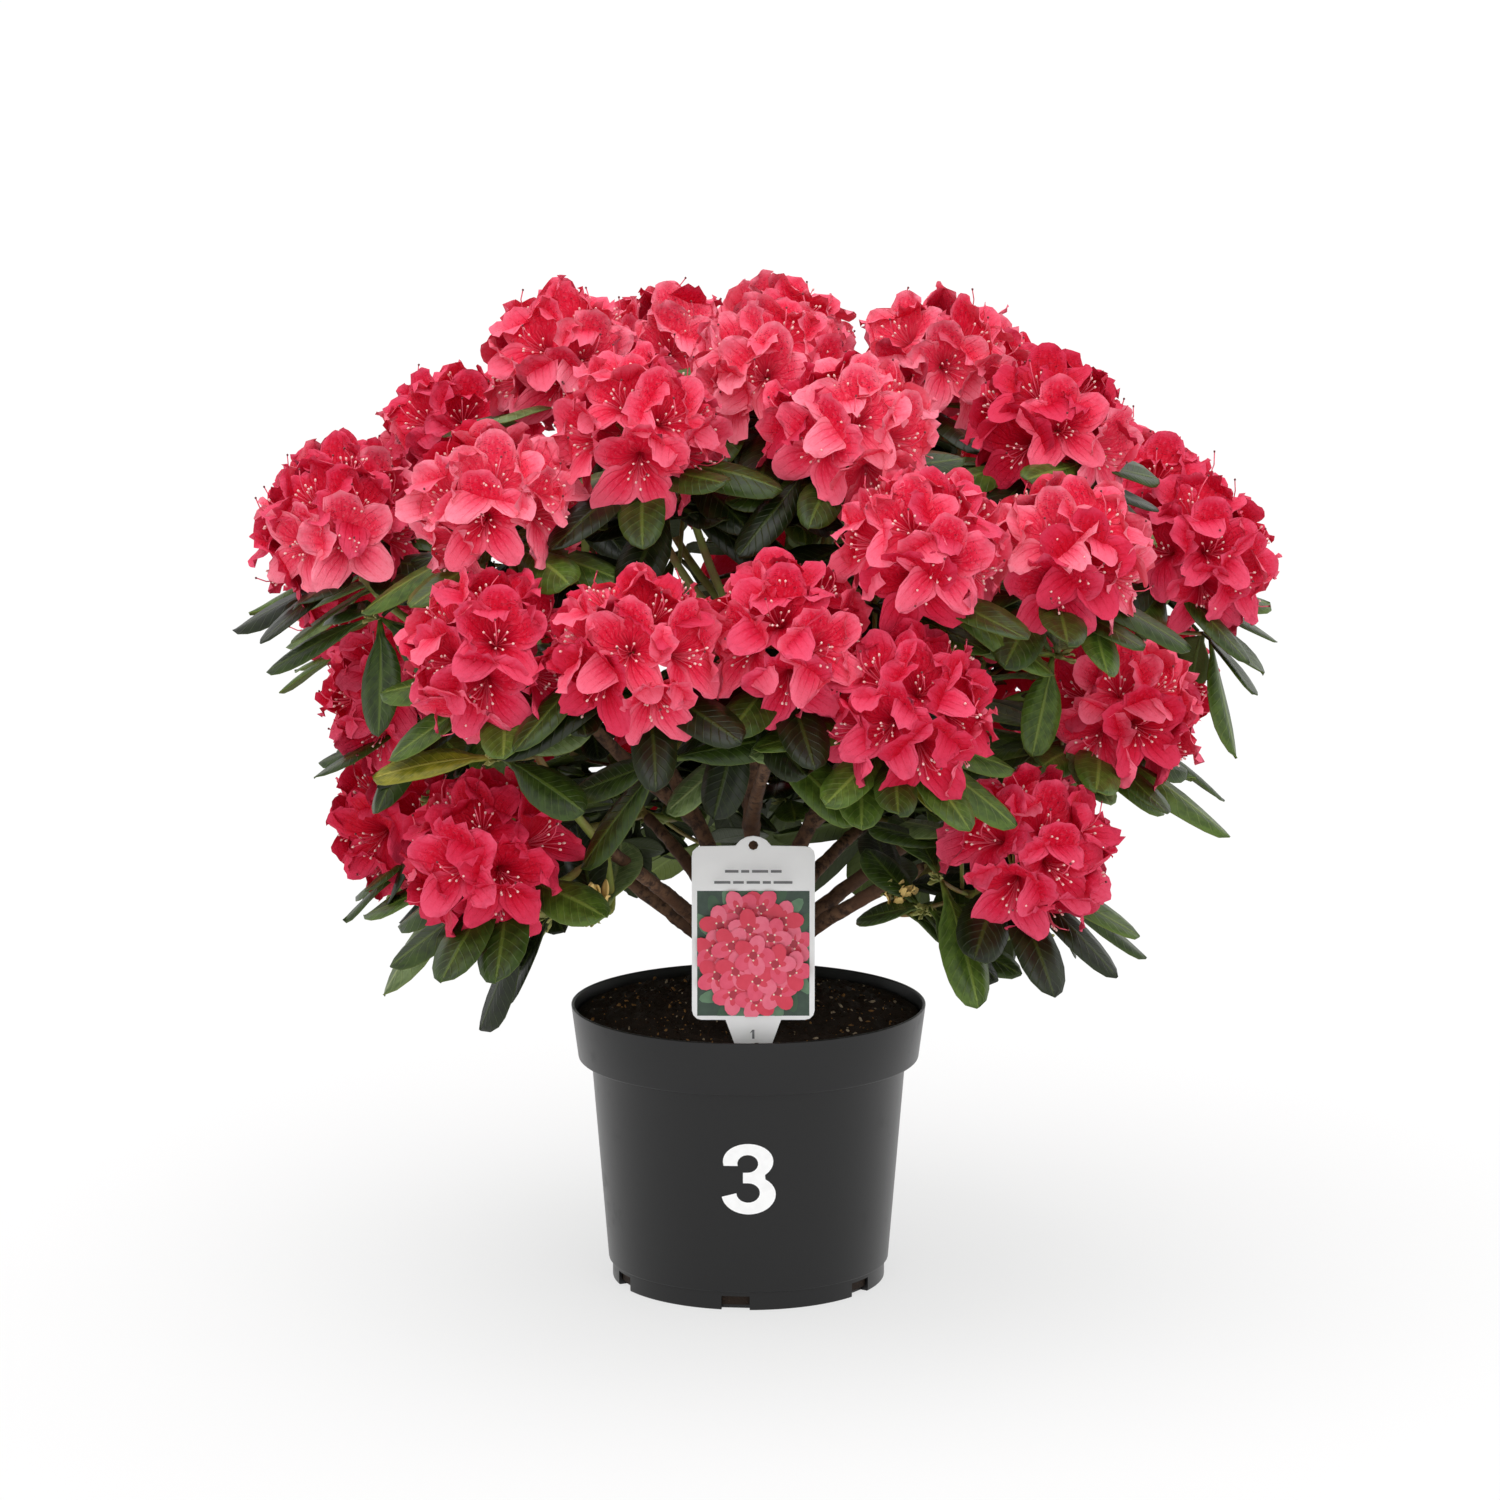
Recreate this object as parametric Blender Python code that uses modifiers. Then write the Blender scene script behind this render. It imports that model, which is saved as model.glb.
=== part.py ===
"""Potted rhododendron in full flower: a round nursery pot of compost, a short trunk, tapering boughs, and
sprays of leaves and flower heads. Metres, +Z up. The origin is the middle of the pot's flat underside."""

import math
import random
from collections import namedtuple

import bmesh
import bpy
from mathutils import Matrix, Quaternion, Vector
from mathutils.bvhtree import BVHTree

# Driving dimensions
CLEAR = 0.0003                      # gap that touching solids keep
WELD = 1e-6                         # points this near are one

POT_HEIGHT = 0.150
POT_RIM_RADIUS = 0.095
POT_FOOT_RADIUS = 0.0745
POT_WALL = 0.0016
POT_FLOOR = 0.0022
BAND_HEIGHT = 0.029                 # the collar round the top
BAND_FOOT_RADIUS = 0.0912
POT_WAIST_RADIUS = 0.0843           # the wall just under the collar
FOOT_RING_HEIGHT = 0.0104
FOOT_RING_STEP = 0.0012             # the foot ring stands in from the wall
POT_SIDES = 36
SOIL_SIDES = 24
NOTCHES = 6
NOTCH_WIDTH = 0.015
NOTCH_HEIGHT = 0.0076
NOTCH_DEPTH = 0.005
NOTCH_TURN = -0.09                  # of the step between notches, round from the front

SOIL_BELOW_RIM = 0.006
SOIL_MOUND = 0.006                  # the compost is heaped this much round the trunk
MOUND_FLAT_RADIUS = 0.026
MOUND_SHOULDER = 0.62               # of the heap's height, half way to the wall

LABEL_WIDTH = 0.064
LABEL_HEIGHT = 0.092
LABEL_THICK = 0.0009
LABEL_CORNER = 0.005
LABEL_PLACE = Vector((0.0025, -0.0785, 0.159))    # middle of the panel's lower edge
LABEL_LEAN = math.radians(1.5)
STAKE_TOP_WIDTH = 0.029
STAKE_SOIL_WIDTH = 0.018
STAKE_IN_SOIL = 0.028
TAB_RADIUS = 0.011
TAB_HOLE_RADIUS = 0.0026

TRUNK_HEIGHT = 0.040
TRUNK_FLARE_RADIUS = 0.0205
TRUNK_TOP_RADIUS = 0.0128
TRUNK_LEAN = 0.003
# Up the trunk: the share of its height, and the share of its flare that is left there
TRUNK_STATIONS = ((0, 1.0), (0.10, 0.72), (0.30, 0.34), (0.62, 0.12), (1.0, 0))

# The crown: flower heads stand on a dome that hangs in below its waist
CROWN_REACH = 0.240
CROWN_WAIST = 0.375
CROWN_RISE = 0.130
CROWN_DROP = 0.270
CROWN_HEART = Vector((0, 0, 0.255))               # flower heads turn away from this point
HEAD_LIFT = 0.16                                  # and a little up
HEAD_RADIUS = 0.0455
FLOWERS_IN_HEAD = 6
# Sizes within a head are shares of its radius.
HEART_SIZE = 0.23
LOBE_REACH = 0.93                                 # from the head's middle to a lobe's tip
CLEFT_REACH = 0.86                                # and to the notch between two lobes
CLEFT_WIDTH = 0.50                                # from the flower's axis to that notch
LOBE_WIDTH = 0.32                                 # and to the lobe's tip
THROAT_DEPTH = 0.34
LEAST_FLOWER = 0.62                               # with less room than this a flower is left out
LEAF_LENGTH = 0.068
LEAF_WIDTH = 0.023
LEAF_THICK = 0.0012
LEAVES_UNDER_HEAD = 7
TRIES_PER_LEAF = 12
LEAF_SIDE = 0.56                                  # makes a six-cornered leaf as broad as a round-sided one
SPACE_SHARED = 0.030                # a leaf tip may be this much nearer a neighbouring spray
LEAF_SUNK = 0.85                    # of the collar's radius, behind its middle
LEAF_STRIDE = 5                     # how the leaves climb the collar as they go round it
SEED = 19

# Tiers of flower heads from the top down: degrees from the dome's top, share of its reach, and bearings.
# A bearing is in degrees from the front, positive to the right.
TIERS = (
    (20, 1.00, (9,)),
    (26, 0.93, (98, -101)),
    (31, 0.72, (-150,)),
    (34, 1.00, (172,)),
    (39, 1.00, (-21, 20)),
    (45, 1.00, (66, 134)),
    (48, 1.00, (-159,)),
    (58, 0.87, (-119,)),
    (59, 1.00, (-38, 176)),
    (66, 1.00, (23,)),
    (71, 1.00, (44, -67, 127, 152)),
    (74, 0.93, (100,)),
    (75, 0.96, (-104, -137, -164)),
    (79, 1.00, (78,)),
    (86, 0.90, (5,)),
    (87, 1.00, (-13,)),
    (90, 1.00, (-32,)),
    (95, 1.00, (19, -119, 176)),
    (100, 0.92, (60, 140, -150)),
    (101, 0.78, (-86,)),
    (103, 0.92, (106,)),
    (113, 1.00, (39, -36)),
    (117, 0.96, (-132, 134, 165, -170)),
    (118, 0.86, (-97,)),
)

# Leafy shoots with no flowers, on the same dome
SHOOTS = (
    (119, 0.80, (-29, 29, 76, 112, 148, -162, -112, -72)),
)

# Boughs: name, what it forks from and how far up that, then the bearing and the degrees from the dome's top
# of the flower heads that it carries.
BOUGHS = (
    ("crown_front", "trunk", 0.86, -4, 32),
    ("crown_right", "trunk", 0.86, 96, 42),
    ("crown_back", "trunk", 0.86, 178, 44),
    ("crown_left", "trunk", 0.86, -108, 42),
    ("low_front_left", "trunk", 0.50, -40, 108),
    ("low_front_right", "trunk", 0.38, 42, 106),
    ("low_left", "trunk", 0.38, -100, 110),
    ("low_right", "trunk", 0.50, 112, 100),
    ("low_back_left", "trunk", 0.50, -152, 110),
    ("low_back_right", "trunk", 0.38, 155, 110),
    ("front", "crown_front", 0.4, 5, 84),
    ("shoulder_right", "crown_right", 0.4, 72, 74),
    ("shoulder_left", "crown_left", 0.4, -64, 68),
    ("back", "crown_back", 0.4, 166, 74),
    ("back_left", "crown_left", 0.6, -142, 78),
    ("back_right", "crown_right", 0.6, 132, 78),
)
FIRST_BOUGH_RADII = 0.0047, 0.0032
SECOND_BOUGH_RADII = 0.0038, 0.0028
TRUNK_ROUNDNESS, BOUGH_ROUNDNESS = 4, 1
FACET_CLEAR = 0.0004                # on a limb's radius, this leaves the gap at its flats too
BOUGH_SHARE = 0.56                  # how far out to its heads a bough runs
LOW_FORK = 0.60                     # a bough that forks below this share of the trunk spreads low
LOW_STEEPNESS, HIGH_STEEPNESS = math.radians(38), math.radians(74)
LOW_START, HIGH_START = 0.002, 0.0068             # from the trunk's axis to a bough's first point
SPRAY_STEM = 0.008
STEM_TIP = 0.004                    # the stem's rounded end past its fork
TWIG_SUNK = 0.003                   # a twig starts this far back inside the stem
TWIG_RADIUS = 0.0017
COLLAR_RADIUS = 0.0032              # the swelling under a head that its leaves spring from
COLLAR_LENGTH = 0.009
BUD_LENGTH = 0.014                  # a shoot with no flowers ends in a bud
BUD_TIP_RADIUS = 0.0006


# Shared helpers
def add_object(name, mesh, collection):
    obj = bpy.data.objects.new(name, mesh)
    collection.objects.link(obj)
    return obj


def material(name, colour, roughness):
    """A plain finish with the part's colour."""
    made = bpy.data.materials.new(name)
    made.use_nodes = True
    shader = made.node_tree.nodes["Principled BSDF"]
    shader.inputs["Base Color"].default_value = (*colour, 1)
    shader.inputs["Roughness"].default_value = roughness
    shader.inputs["Metallic"].default_value = 0
    made.diffuse_color = (*colour, 1)
    return made


def bearing_direction(bearing):
    """Level direction of a bearing: 0 is the front, which is -Y."""
    angle = math.radians(bearing)
    return Vector((math.sin(angle), -math.cos(angle), 0))


def on_dome(bearing, polar, share=1.0):
    """A place on the crown's dome."""
    angle = math.radians(polar)
    depth = CROWN_RISE if polar < 90 else CROWN_DROP
    out = bearing_direction(bearing) * share * CROWN_REACH * math.sin(angle)
    return out + Vector((0, 0, CROWN_WAIST + depth * math.cos(angle)))


def bezier(a, b, c, steps):
    """Points along the curve from a to c that bends towards b."""
    found = []
    for i in range(steps + 1):
        t = i / steps
        found.append(a * (1 - t) ** 2 + b * 2 * t * (1 - t) + c * t ** 2)
    return found


def tube(name, points, radii, resolution, collection):
    """A tapering limb: a bevelled curve made a mesh, its caps welded."""
    curve = bpy.data.curves.new(name + "_line", "CURVE")
    curve.dimensions = "3D"
    curve.bevel_depth = 1.0
    curve.bevel_resolution = resolution
    curve.use_fill_caps = True
    spline = curve.splines.new("POLY")
    spline.points.add(len(points) - 1)
    for point, place, radius in zip(spline.points, points, radii):
        point.co = (*place, 1)
        point.radius = radius
    line = add_object(name + "_line", curve, collection)
    graph = bpy.context.evaluated_depsgraph_get()
    mesh = bpy.data.meshes.new_from_object(line.evaluated_get(graph))
    bpy.data.objects.remove(line)
    bm = bmesh.new()
    bm.from_mesh(mesh)
    bmesh.ops.remove_doubles(bm, verts=bm.verts, dist=WELD)
    bmesh.ops.recalc_face_normals(bm, faces=bm.faces)
    bm.to_mesh(mesh)
    bm.free()
    return add_object(name, mesh, collection)


def taper(start, end, count):
    return [start + (end - start) * i / (count - 1) for i in range(count)]


def boolean(obj, operation, cutter=None, cutters=None, solver="EXACT"):
    """Cuts or joins, and applies the result."""
    modifier = obj.modifiers.new(operation.title(), "BOOLEAN")
    modifier.operation = operation
    modifier.solver = solver
    if cutters is None:
        modifier.object = cutter
    else:
        modifier.operand_type = "COLLECTION"
        modifier.collection = cutters
    graph = bpy.context.evaluated_depsgraph_get()
    mesh = bpy.data.meshes.new_from_object(obj.evaluated_get(graph))
    obj.modifiers.remove(modifier)
    obj.data = mesh


def clear_away(objects):
    for obj in list(objects):
        bpy.data.objects.remove(obj)


def turned(name, profile, sides, collection):
    """A solid of revolution from (radius, height) points that run down its outer side."""
    mesh = bpy.data.meshes.new(name)
    bm = bmesh.new()
    ring = [bm.verts.new((radius, 0, height)) for radius, height in profile]
    for a, b in zip(ring, ring[1:]):
        bm.edges.new((a, b))
    bm.to_mesh(mesh)
    bm.free()
    obj = add_object(name, mesh, collection)
    screw = obj.modifiers.new("Turn", "SCREW")
    screw.steps = screw.render_steps = sides
    screw.use_merge_vertices = True
    screw.merge_threshold = 1e-5
    graph = bpy.context.evaluated_depsgraph_get()
    obj.data = bpy.data.meshes.new_from_object(obj.evaluated_get(graph))
    obj.modifiers.clear()
    return obj


# The pot
def wall_radius(height):
    """Outer radius of the pot's wall under the collar."""
    share = height / (POT_HEIGHT - BAND_HEIGHT)
    return POT_FOOT_RADIUS + (POT_WAIST_RADIUS - POT_FOOT_RADIUS) * share


def build_pot(collection, cutters):
    """Thin moulded wall with a collar, and drain notches cut through the corner of its foot."""
    shoulder = POT_HEIGHT - BAND_HEIGHT
    foot = POT_FOOT_RADIUS - FOOT_RING_STEP
    over_foot = FOOT_RING_HEIGHT + POT_WALL
    lip = POT_WALL * 0.6
    profile = (
        (0, POT_FLOOR),
        (foot - POT_WALL, POT_FLOOR),
        (foot - POT_WALL, FOOT_RING_HEIGHT),
        (wall_radius(over_foot) - POT_WALL, over_foot),
        (POT_WAIST_RADIUS - POT_WALL, shoulder + POT_WALL),
        (BAND_FOOT_RADIUS - POT_WALL, shoulder + POT_WALL),
        (POT_RIM_RADIUS - POT_WALL - lip, POT_HEIGHT - lip),
        (POT_RIM_RADIUS - POT_WALL, POT_HEIGHT),
        (POT_RIM_RADIUS - lip, POT_HEIGHT),
        (POT_RIM_RADIUS, POT_HEIGHT - lip),
        (BAND_FOOT_RADIUS, shoulder + lip),
        (BAND_FOOT_RADIUS - lip, shoulder),
        (POT_WAIST_RADIUS, shoulder),
        (wall_radius(FOOT_RING_HEIGHT), FOOT_RING_HEIGHT),
        (foot, FOOT_RING_HEIGHT - lip),
        (foot - lip, 0),
        (0, 0),
    )
    pot = turned("pot", profile, POT_SIDES, collection)
    for i in range(NOTCHES):
        mesh = bpy.data.meshes.new("notch")
        bm = bmesh.new()
        bmesh.ops.create_cube(bm, size=1)
        bmesh.ops.scale(bm, vec=(NOTCH_WIDTH, 2 * NOTCH_DEPTH, 2 * NOTCH_HEIGHT), verts=bm.verts)
        bmesh.ops.translate(bm, vec=(0, -foot, 0), verts=bm.verts)
        turn = Matrix.Rotation(math.tau * (i + NOTCH_TURN) / NOTCHES, 3, "Z")
        bmesh.ops.rotate(bm, cent=(0, 0, 0), matrix=turn, verts=bm.verts)
        bm.to_mesh(mesh)
        bm.free()
        add_object("notch", mesh, cutters)
    boolean(pot, "DIFFERENCE", cutters=cutters)
    clear_away(cutters.objects)
    return pot


# The compost
def soil_level():
    return POT_HEIGHT - SOIL_BELOW_RIM


def mound_level():
    return soil_level() + SOIL_MOUND


def build_soil(collection, cutters):
    """Fills the pot to a little under the rim, heaped round the trunk, with a slit for the label's stake."""
    shoulder = POT_HEIGHT - BAND_HEIGHT + POT_WALL
    floor = POT_FLOOR + CLEAR
    inside = POT_WALL + 2 * CLEAR
    rise = (soil_level() - shoulder) / (POT_HEIGHT - shoulder)
    edge = BAND_FOOT_RADIUS + (POT_RIM_RADIUS - BAND_FOOT_RADIUS) * rise - inside - 2 * CLEAR
    middle = (edge + MOUND_FLAT_RADIUS) / 2
    over_foot = FOOT_RING_HEIGHT + POT_WALL
    foot = POT_FOOT_RADIUS - FOOT_RING_STEP
    profile = (
        (0, mound_level()),
        (MOUND_FLAT_RADIUS, mound_level()),
        (middle, soil_level() + SOIL_MOUND * MOUND_SHOULDER),
        (edge, soil_level()),
        (BAND_FOOT_RADIUS - inside, shoulder + 2 * CLEAR),
        (POT_WAIST_RADIUS - inside, shoulder + 2 * CLEAR),
        (wall_radius(over_foot) - inside, over_foot + CLEAR),
        (foot - inside, FOOT_RING_HEIGHT + CLEAR),
        (foot - inside, floor),
        (0, floor),
    )
    soil = turned("compost", profile, SOIL_SIDES, collection)
    room = 2 * CLEAR
    slit = bpy.data.meshes.new("stake_slit")
    bm = bmesh.new()
    bmesh.ops.create_cube(bm, size=1)
    size = (STAKE_SOIL_WIDTH + 4 * room, LABEL_THICK + 2 * room, 2 * (STAKE_IN_SOIL + room))
    bmesh.ops.scale(bm, vec=size, verts=bm.verts)
    bmesh.ops.translate(bm, vec=(0, 0, soil_level() - LABEL_PLACE.z), verts=bm.verts)
    bmesh.ops.transform(bm, matrix=label_matrix(), verts=bm.verts)
    bm.to_mesh(slit)
    bm.free()
    cutter = add_object("stake_slit", slit, cutters)
    boolean(soil, "DIFFERENCE", cutter=cutter)
    clear_away(cutters.objects)
    return soil


# The plant label
def label_matrix():
    """Stands the label up, leaning back a little, its panel's lower edge at its place."""
    return Matrix.Translation(LABEL_PLACE) @ Matrix.Rotation(-LABEL_LEAN, 4, "X")


def arc(centre, radius, start, end, steps):
    found = []
    for i in range(steps + 1):
        angle = math.radians(start + (end - start) * i / steps)
        found.append((centre[0] + radius * math.cos(angle), centre[1] + radius * math.sin(angle)))
    return found


def build_label(collection):
    """A flat plastic tag: a panel with rounded corners, a round tab with a hole, and a pointed stake."""
    half = LABEL_WIDTH / 2
    inset = half - LABEL_CORNER
    foot = soil_level() - LABEL_PLACE.z
    outline = arc((inset, LABEL_CORNER), LABEL_CORNER, -90, 0, 3)
    outline += arc((inset, LABEL_HEIGHT - LABEL_CORNER), LABEL_CORNER, 0, 90, 3)
    outline += arc((0, LABEL_HEIGHT - 0.5 * TAB_RADIUS), TAB_RADIUS, 32, 148, 6)
    outline += arc((-inset, LABEL_HEIGHT - LABEL_CORNER), LABEL_CORNER, 90, 180, 3)
    outline += arc((-inset, LABEL_CORNER), LABEL_CORNER, 180, 270, 3)
    outline += [
        (-STAKE_TOP_WIDTH / 2, 0),
        (-STAKE_SOIL_WIDTH / 2, foot),
        (-STAKE_SOIL_WIDTH / 3, foot - STAKE_IN_SOIL * 0.7),
        (0, foot - STAKE_IN_SOIL),
        (STAKE_SOIL_WIDTH / 3, foot - STAKE_IN_SOIL * 0.7),
        (STAKE_SOIL_WIDTH / 2, foot),
        (STAKE_TOP_WIDTH / 2, 0),
    ]
    hole = arc((0, LABEL_HEIGHT + 0.05 * TAB_RADIUS), TAB_HOLE_RADIUS, 0, 315, 7)
    curve = bpy.data.curves.new("plant_label_outline", "CURVE")
    curve.dimensions = "2D"
    curve.fill_mode = "BOTH"
    curve.extrude = LABEL_THICK / 2
    for points in (outline, hole):
        spline = curve.splines.new("POLY")
        spline.points.add(len(points) - 1)
        for point, (x, y) in zip(spline.points, points):
            point.co = (x, y, 0, 1)
        spline.use_cyclic_u = True
    flat = add_object("plant_label_outline", curve, collection)
    graph = bpy.context.evaluated_depsgraph_get()
    mesh = bpy.data.meshes.new_from_object(flat.evaluated_get(graph))
    bpy.data.objects.remove(flat)
    bm = bmesh.new()
    bm.from_mesh(mesh)
    bmesh.ops.remove_doubles(bm, verts=bm.verts, dist=WELD)
    bmesh.ops.rotate(bm, cent=(0, 0, 0), matrix=Matrix.Rotation(math.pi / 2, 3, "X"), verts=bm.verts)
    bmesh.ops.transform(bm, matrix=label_matrix(), verts=bm.verts)
    bmesh.ops.recalc_face_normals(bm, faces=bm.faces)
    bm.to_mesh(mesh)
    bm.free()
    return add_object("plant_label", mesh, collection)


# Trunk and boughs
def trunk_line():
    """Centre points and radii of the trunk, from the flat cut on the compost to its fork."""
    foot = mound_level() + CLEAR
    flare = TRUNK_FLARE_RADIUS - TRUNK_TOP_RADIUS
    points = [Vector((TRUNK_LEAN * up ** 2, 0, foot + TRUNK_HEIGHT * up)) for up, _ in TRUNK_STATIONS]
    radii = [TRUNK_TOP_RADIUS + flare * swell for _, swell in TRUNK_STATIONS]
    return points, radii


Head = namedtuple("Head", "number centre facing in_flower")


def spray_heads():
    """Deals the heads out, in flower or not: each goes to the bough whose aim on the dome is nearest."""
    sprays = {bough[0]: [] for bough in BOUGHS}
    number = 0
    for tiers, in_flower in ((TIERS, True), (SHOOTS, False)):
        for polar, share, bearings in tiers:
            for bearing in bearings:
                centre = on_dome(bearing, polar, share)
                aims = {name: (on_dome(*aim) - centre).length for name, _, _, *aim in BOUGHS}
                facing = (centre - CROWN_HEART).normalized() + Vector((0, 0, HEAD_LIFT))
                sprays[min(aims, key=aims.get)].append(Head(number, centre, facing.normalized(), in_flower))
                number += 1
    return sprays


def bough_lines(sprays):
    """Centre points and radii of each bough."""
    trunk_points, _ = trunk_line()
    lines = {}
    for name, parent, fork, bearing, _ in BOUGHS:
        places = [head.centre for head in sprays[name] if head.in_flower]
        middle = sum(places, Vector()) / len(places)
        level = bearing_direction(bearing)
        if parent == "trunk":
            low = fork < LOW_FORK
            start = trunk_points[0].lerp(trunk_points[-1], fork) + level * (LOW_START if low else HIGH_START)
            steep = LOW_STEEPNESS if low else HIGH_STEEPNESS
            lead = level * math.cos(steep) + Vector((0, 0, math.sin(steep)))
            thick, thin = FIRST_BOUGH_RADII
        else:
            points, _ = lines[parent]
            start = points[round(fork * (len(points) - 1))]
            lead = (level * 0.8 + Vector((0, 0, 0.6))).normalized()
            thick, thin = SECOND_BOUGH_RADII
        end = start.lerp(middle, BOUGH_SHARE)
        bend = start + lead * (end - start).length * 0.5
        points = bezier(start, bend, end, 5)
        lines[name] = (points, taper(thick, thin, len(points)))
    return lines


def build_limbs(lines, collection, cutters):
    """The trunk and its boughs. Each bough is cut 0.3 mm clear of the limb that it forks from."""
    points, radii = trunk_line()
    limbs = {"trunk": tube("trunk", points, radii, TRUNK_ROUNDNESS, collection)}
    lines = {"trunk": (points, radii), **lines}
    for name, parent, *_ in BOUGHS:
        points, radii = lines[name]
        limb = tube("bough_" + name, points, radii, BOUGH_ROUNDNESS, collection)
        points, radii = lines[parent]
        beyond = points[-1] + (points[-1] - points[-2]).normalized() * CLEAR
        wider = [r + FACET_CLEAR for r in radii]
        roundness = TRUNK_ROUNDNESS if parent == "trunk" else BOUGH_ROUNDNESS
        room = tube("room", points[:-1] + [beyond], wider, roundness, cutters)
        boolean(limb, "DIFFERENCE", cutter=room)
        keep_body(limb.data)
        clear_away([room])
        limbs[name] = limb
    return limbs


# Sprays of leaves and flower heads
def leaf_mesh(root, direction, up, length, width, droop, grow=1.0):
    """One elliptic leaf: a flattened bead with a root, a tip and two points on each edge, drooping."""
    mesh = bpy.data.meshes.new("leaf")
    bm = bmesh.new()
    bmesh.ops.create_uvsphere(bm, u_segments=6, v_segments=2, radius=1)
    side = up.cross(direction).normalized()
    face = direction.cross(side)
    for vert in bm.verts:
        x, y, z = vert.co
        share = x * 0.5 + 0.5
        along = (share + 0.1 * math.sin(math.pi * share)) * length * grow
        fall = droop * along * along / length
        vert.co = (
            root + direction * along + side * y * width * LEAF_SIDE * grow
            + face * (z * LEAF_THICK * 0.5 * (2 * grow - 1)) - Vector((0, 0, fall))
        )
    bm.to_mesh(mesh)
    bm.free()
    return mesh


def heart_mesh(size):
    """A small twelve-sided solid, and the way that one of its sides faces."""
    bm = bmesh.new()
    seed = bmesh.new()
    bmesh.ops.create_icosphere(seed, subdivisions=1, radius=1)
    for face in seed.faces:
        bm.verts.new(face.calc_center_median().normalized() * size)
    upright = max(seed.verts, key=lambda v: v.co.z).co.normalized()
    seed.free()
    bmesh.ops.convex_hull(bm, input=bm.verts)
    bmesh.ops.dissolve_limit(bm, angle_limit=0.02, verts=bm.verts, edges=bm.edges)
    return bm, upright


def room_along(way, spare):
    """What share of its full size a flower may have before it reaches a neighbouring head's half."""
    room = 1.0
    for away, reach in spare:
        lean = way.dot(away)
        if lean > 0.1:
            across = math.sqrt(1 - min(1.0, lean * lean))
            room = min(room, reach / (HEAD_RADIUS * (LOBE_REACH * lean + CLEFT_WIDTH * across)))
    return room


def head_mesh(head, spare, turn):
    """A flower head: a small heart with a five-lobed funnel drawn out of each outer side."""
    bm, upright = heart_mesh(HEAD_RADIUS * HEART_SIZE)
    spin = Quaternion(head.facing, turn) @ upright.rotation_difference(head.facing)
    bmesh.ops.rotate(bm, cent=(0, 0, 0), matrix=spin.to_matrix(), verts=bm.verts)
    sides = sorted(bm.faces, key=lambda f: -f.normal.dot(head.facing))[:FLOWERS_IN_HEAD]
    for face in sides:
        way = face.calc_center_median().normalized()
        room = room_along(way, spare)
        if room < LEAST_FLOWER:
            continue
        size = HEAD_RADIUS * room
        out = bmesh.ops.extrude_discrete_faces(bm, faces=[face])["faces"][0]
        middle = out.calc_center_median()
        clefts = list(out.verts)
        spread = CLEFT_WIDTH * size / (clefts[0].co - middle).length
        for vert in clefts:
            vert.co = way * size * CLEFT_REACH + (vert.co - middle) * spread
        cut = bmesh.ops.subdivide_edges(bm, edges=list(out.edges), cuts=1)
        lobes = [item for item in cut["geom_inner"] if isinstance(item, bmesh.types.BMVert)]
        for vert in lobes:
            level = vert.co - way * vert.co.dot(way)
            vert.co = way * size * LOBE_REACH + level.normalized() * size * LOBE_WIDTH
        flower = next(f for f in lobes[0].link_faces if len(f.verts) == 10)
        bmesh.ops.poke(bm, faces=[flower], offset=-size * THROAT_DEPTH)
    bmesh.ops.triangulate(bm, faces=bm.faces)
    bmesh.ops.translate(bm, vec=head.centre, verts=bm.verts)
    bmesh.ops.recalc_face_normals(bm, faces=bm.faces)
    mesh = bpy.data.meshes.new("head")
    bm.to_mesh(mesh)
    bm.free()
    return mesh


def tree_of(mesh):
    """A search tree of a mesh whose points are already in place."""
    return BVHTree.FromPolygons([v.co for v in mesh.vertices], [p.vertices[:] for p in mesh.polygons])


def collar_foot(head):
    """The foot of the swelling under a head."""
    return head.centre - head.facing * (HEAD_RADIUS * HEART_SIZE + COLLAR_LENGTH)


def keep_body(mesh):
    """Drops loose scraps and fills sealed hollows: only the largest shell stays."""
    bm = bmesh.new()
    bm.from_mesh(mesh)
    waiting = set(bm.faces)
    largest = set()
    while waiting:
        shell = {waiting.pop()}
        front = list(shell)
        while front:
            near = {f for face in front for e in face.edges for f in e.link_faces} - shell
            shell |= near
            front = list(near)
        waiting -= shell
        if len(shell) > len(largest):
            largest = shell
    bmesh.ops.delete(bm, geom=[f for f in bm.faces if f not in largest], context="FACES")
    bm.to_mesh(mesh)
    bm.free()


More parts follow.
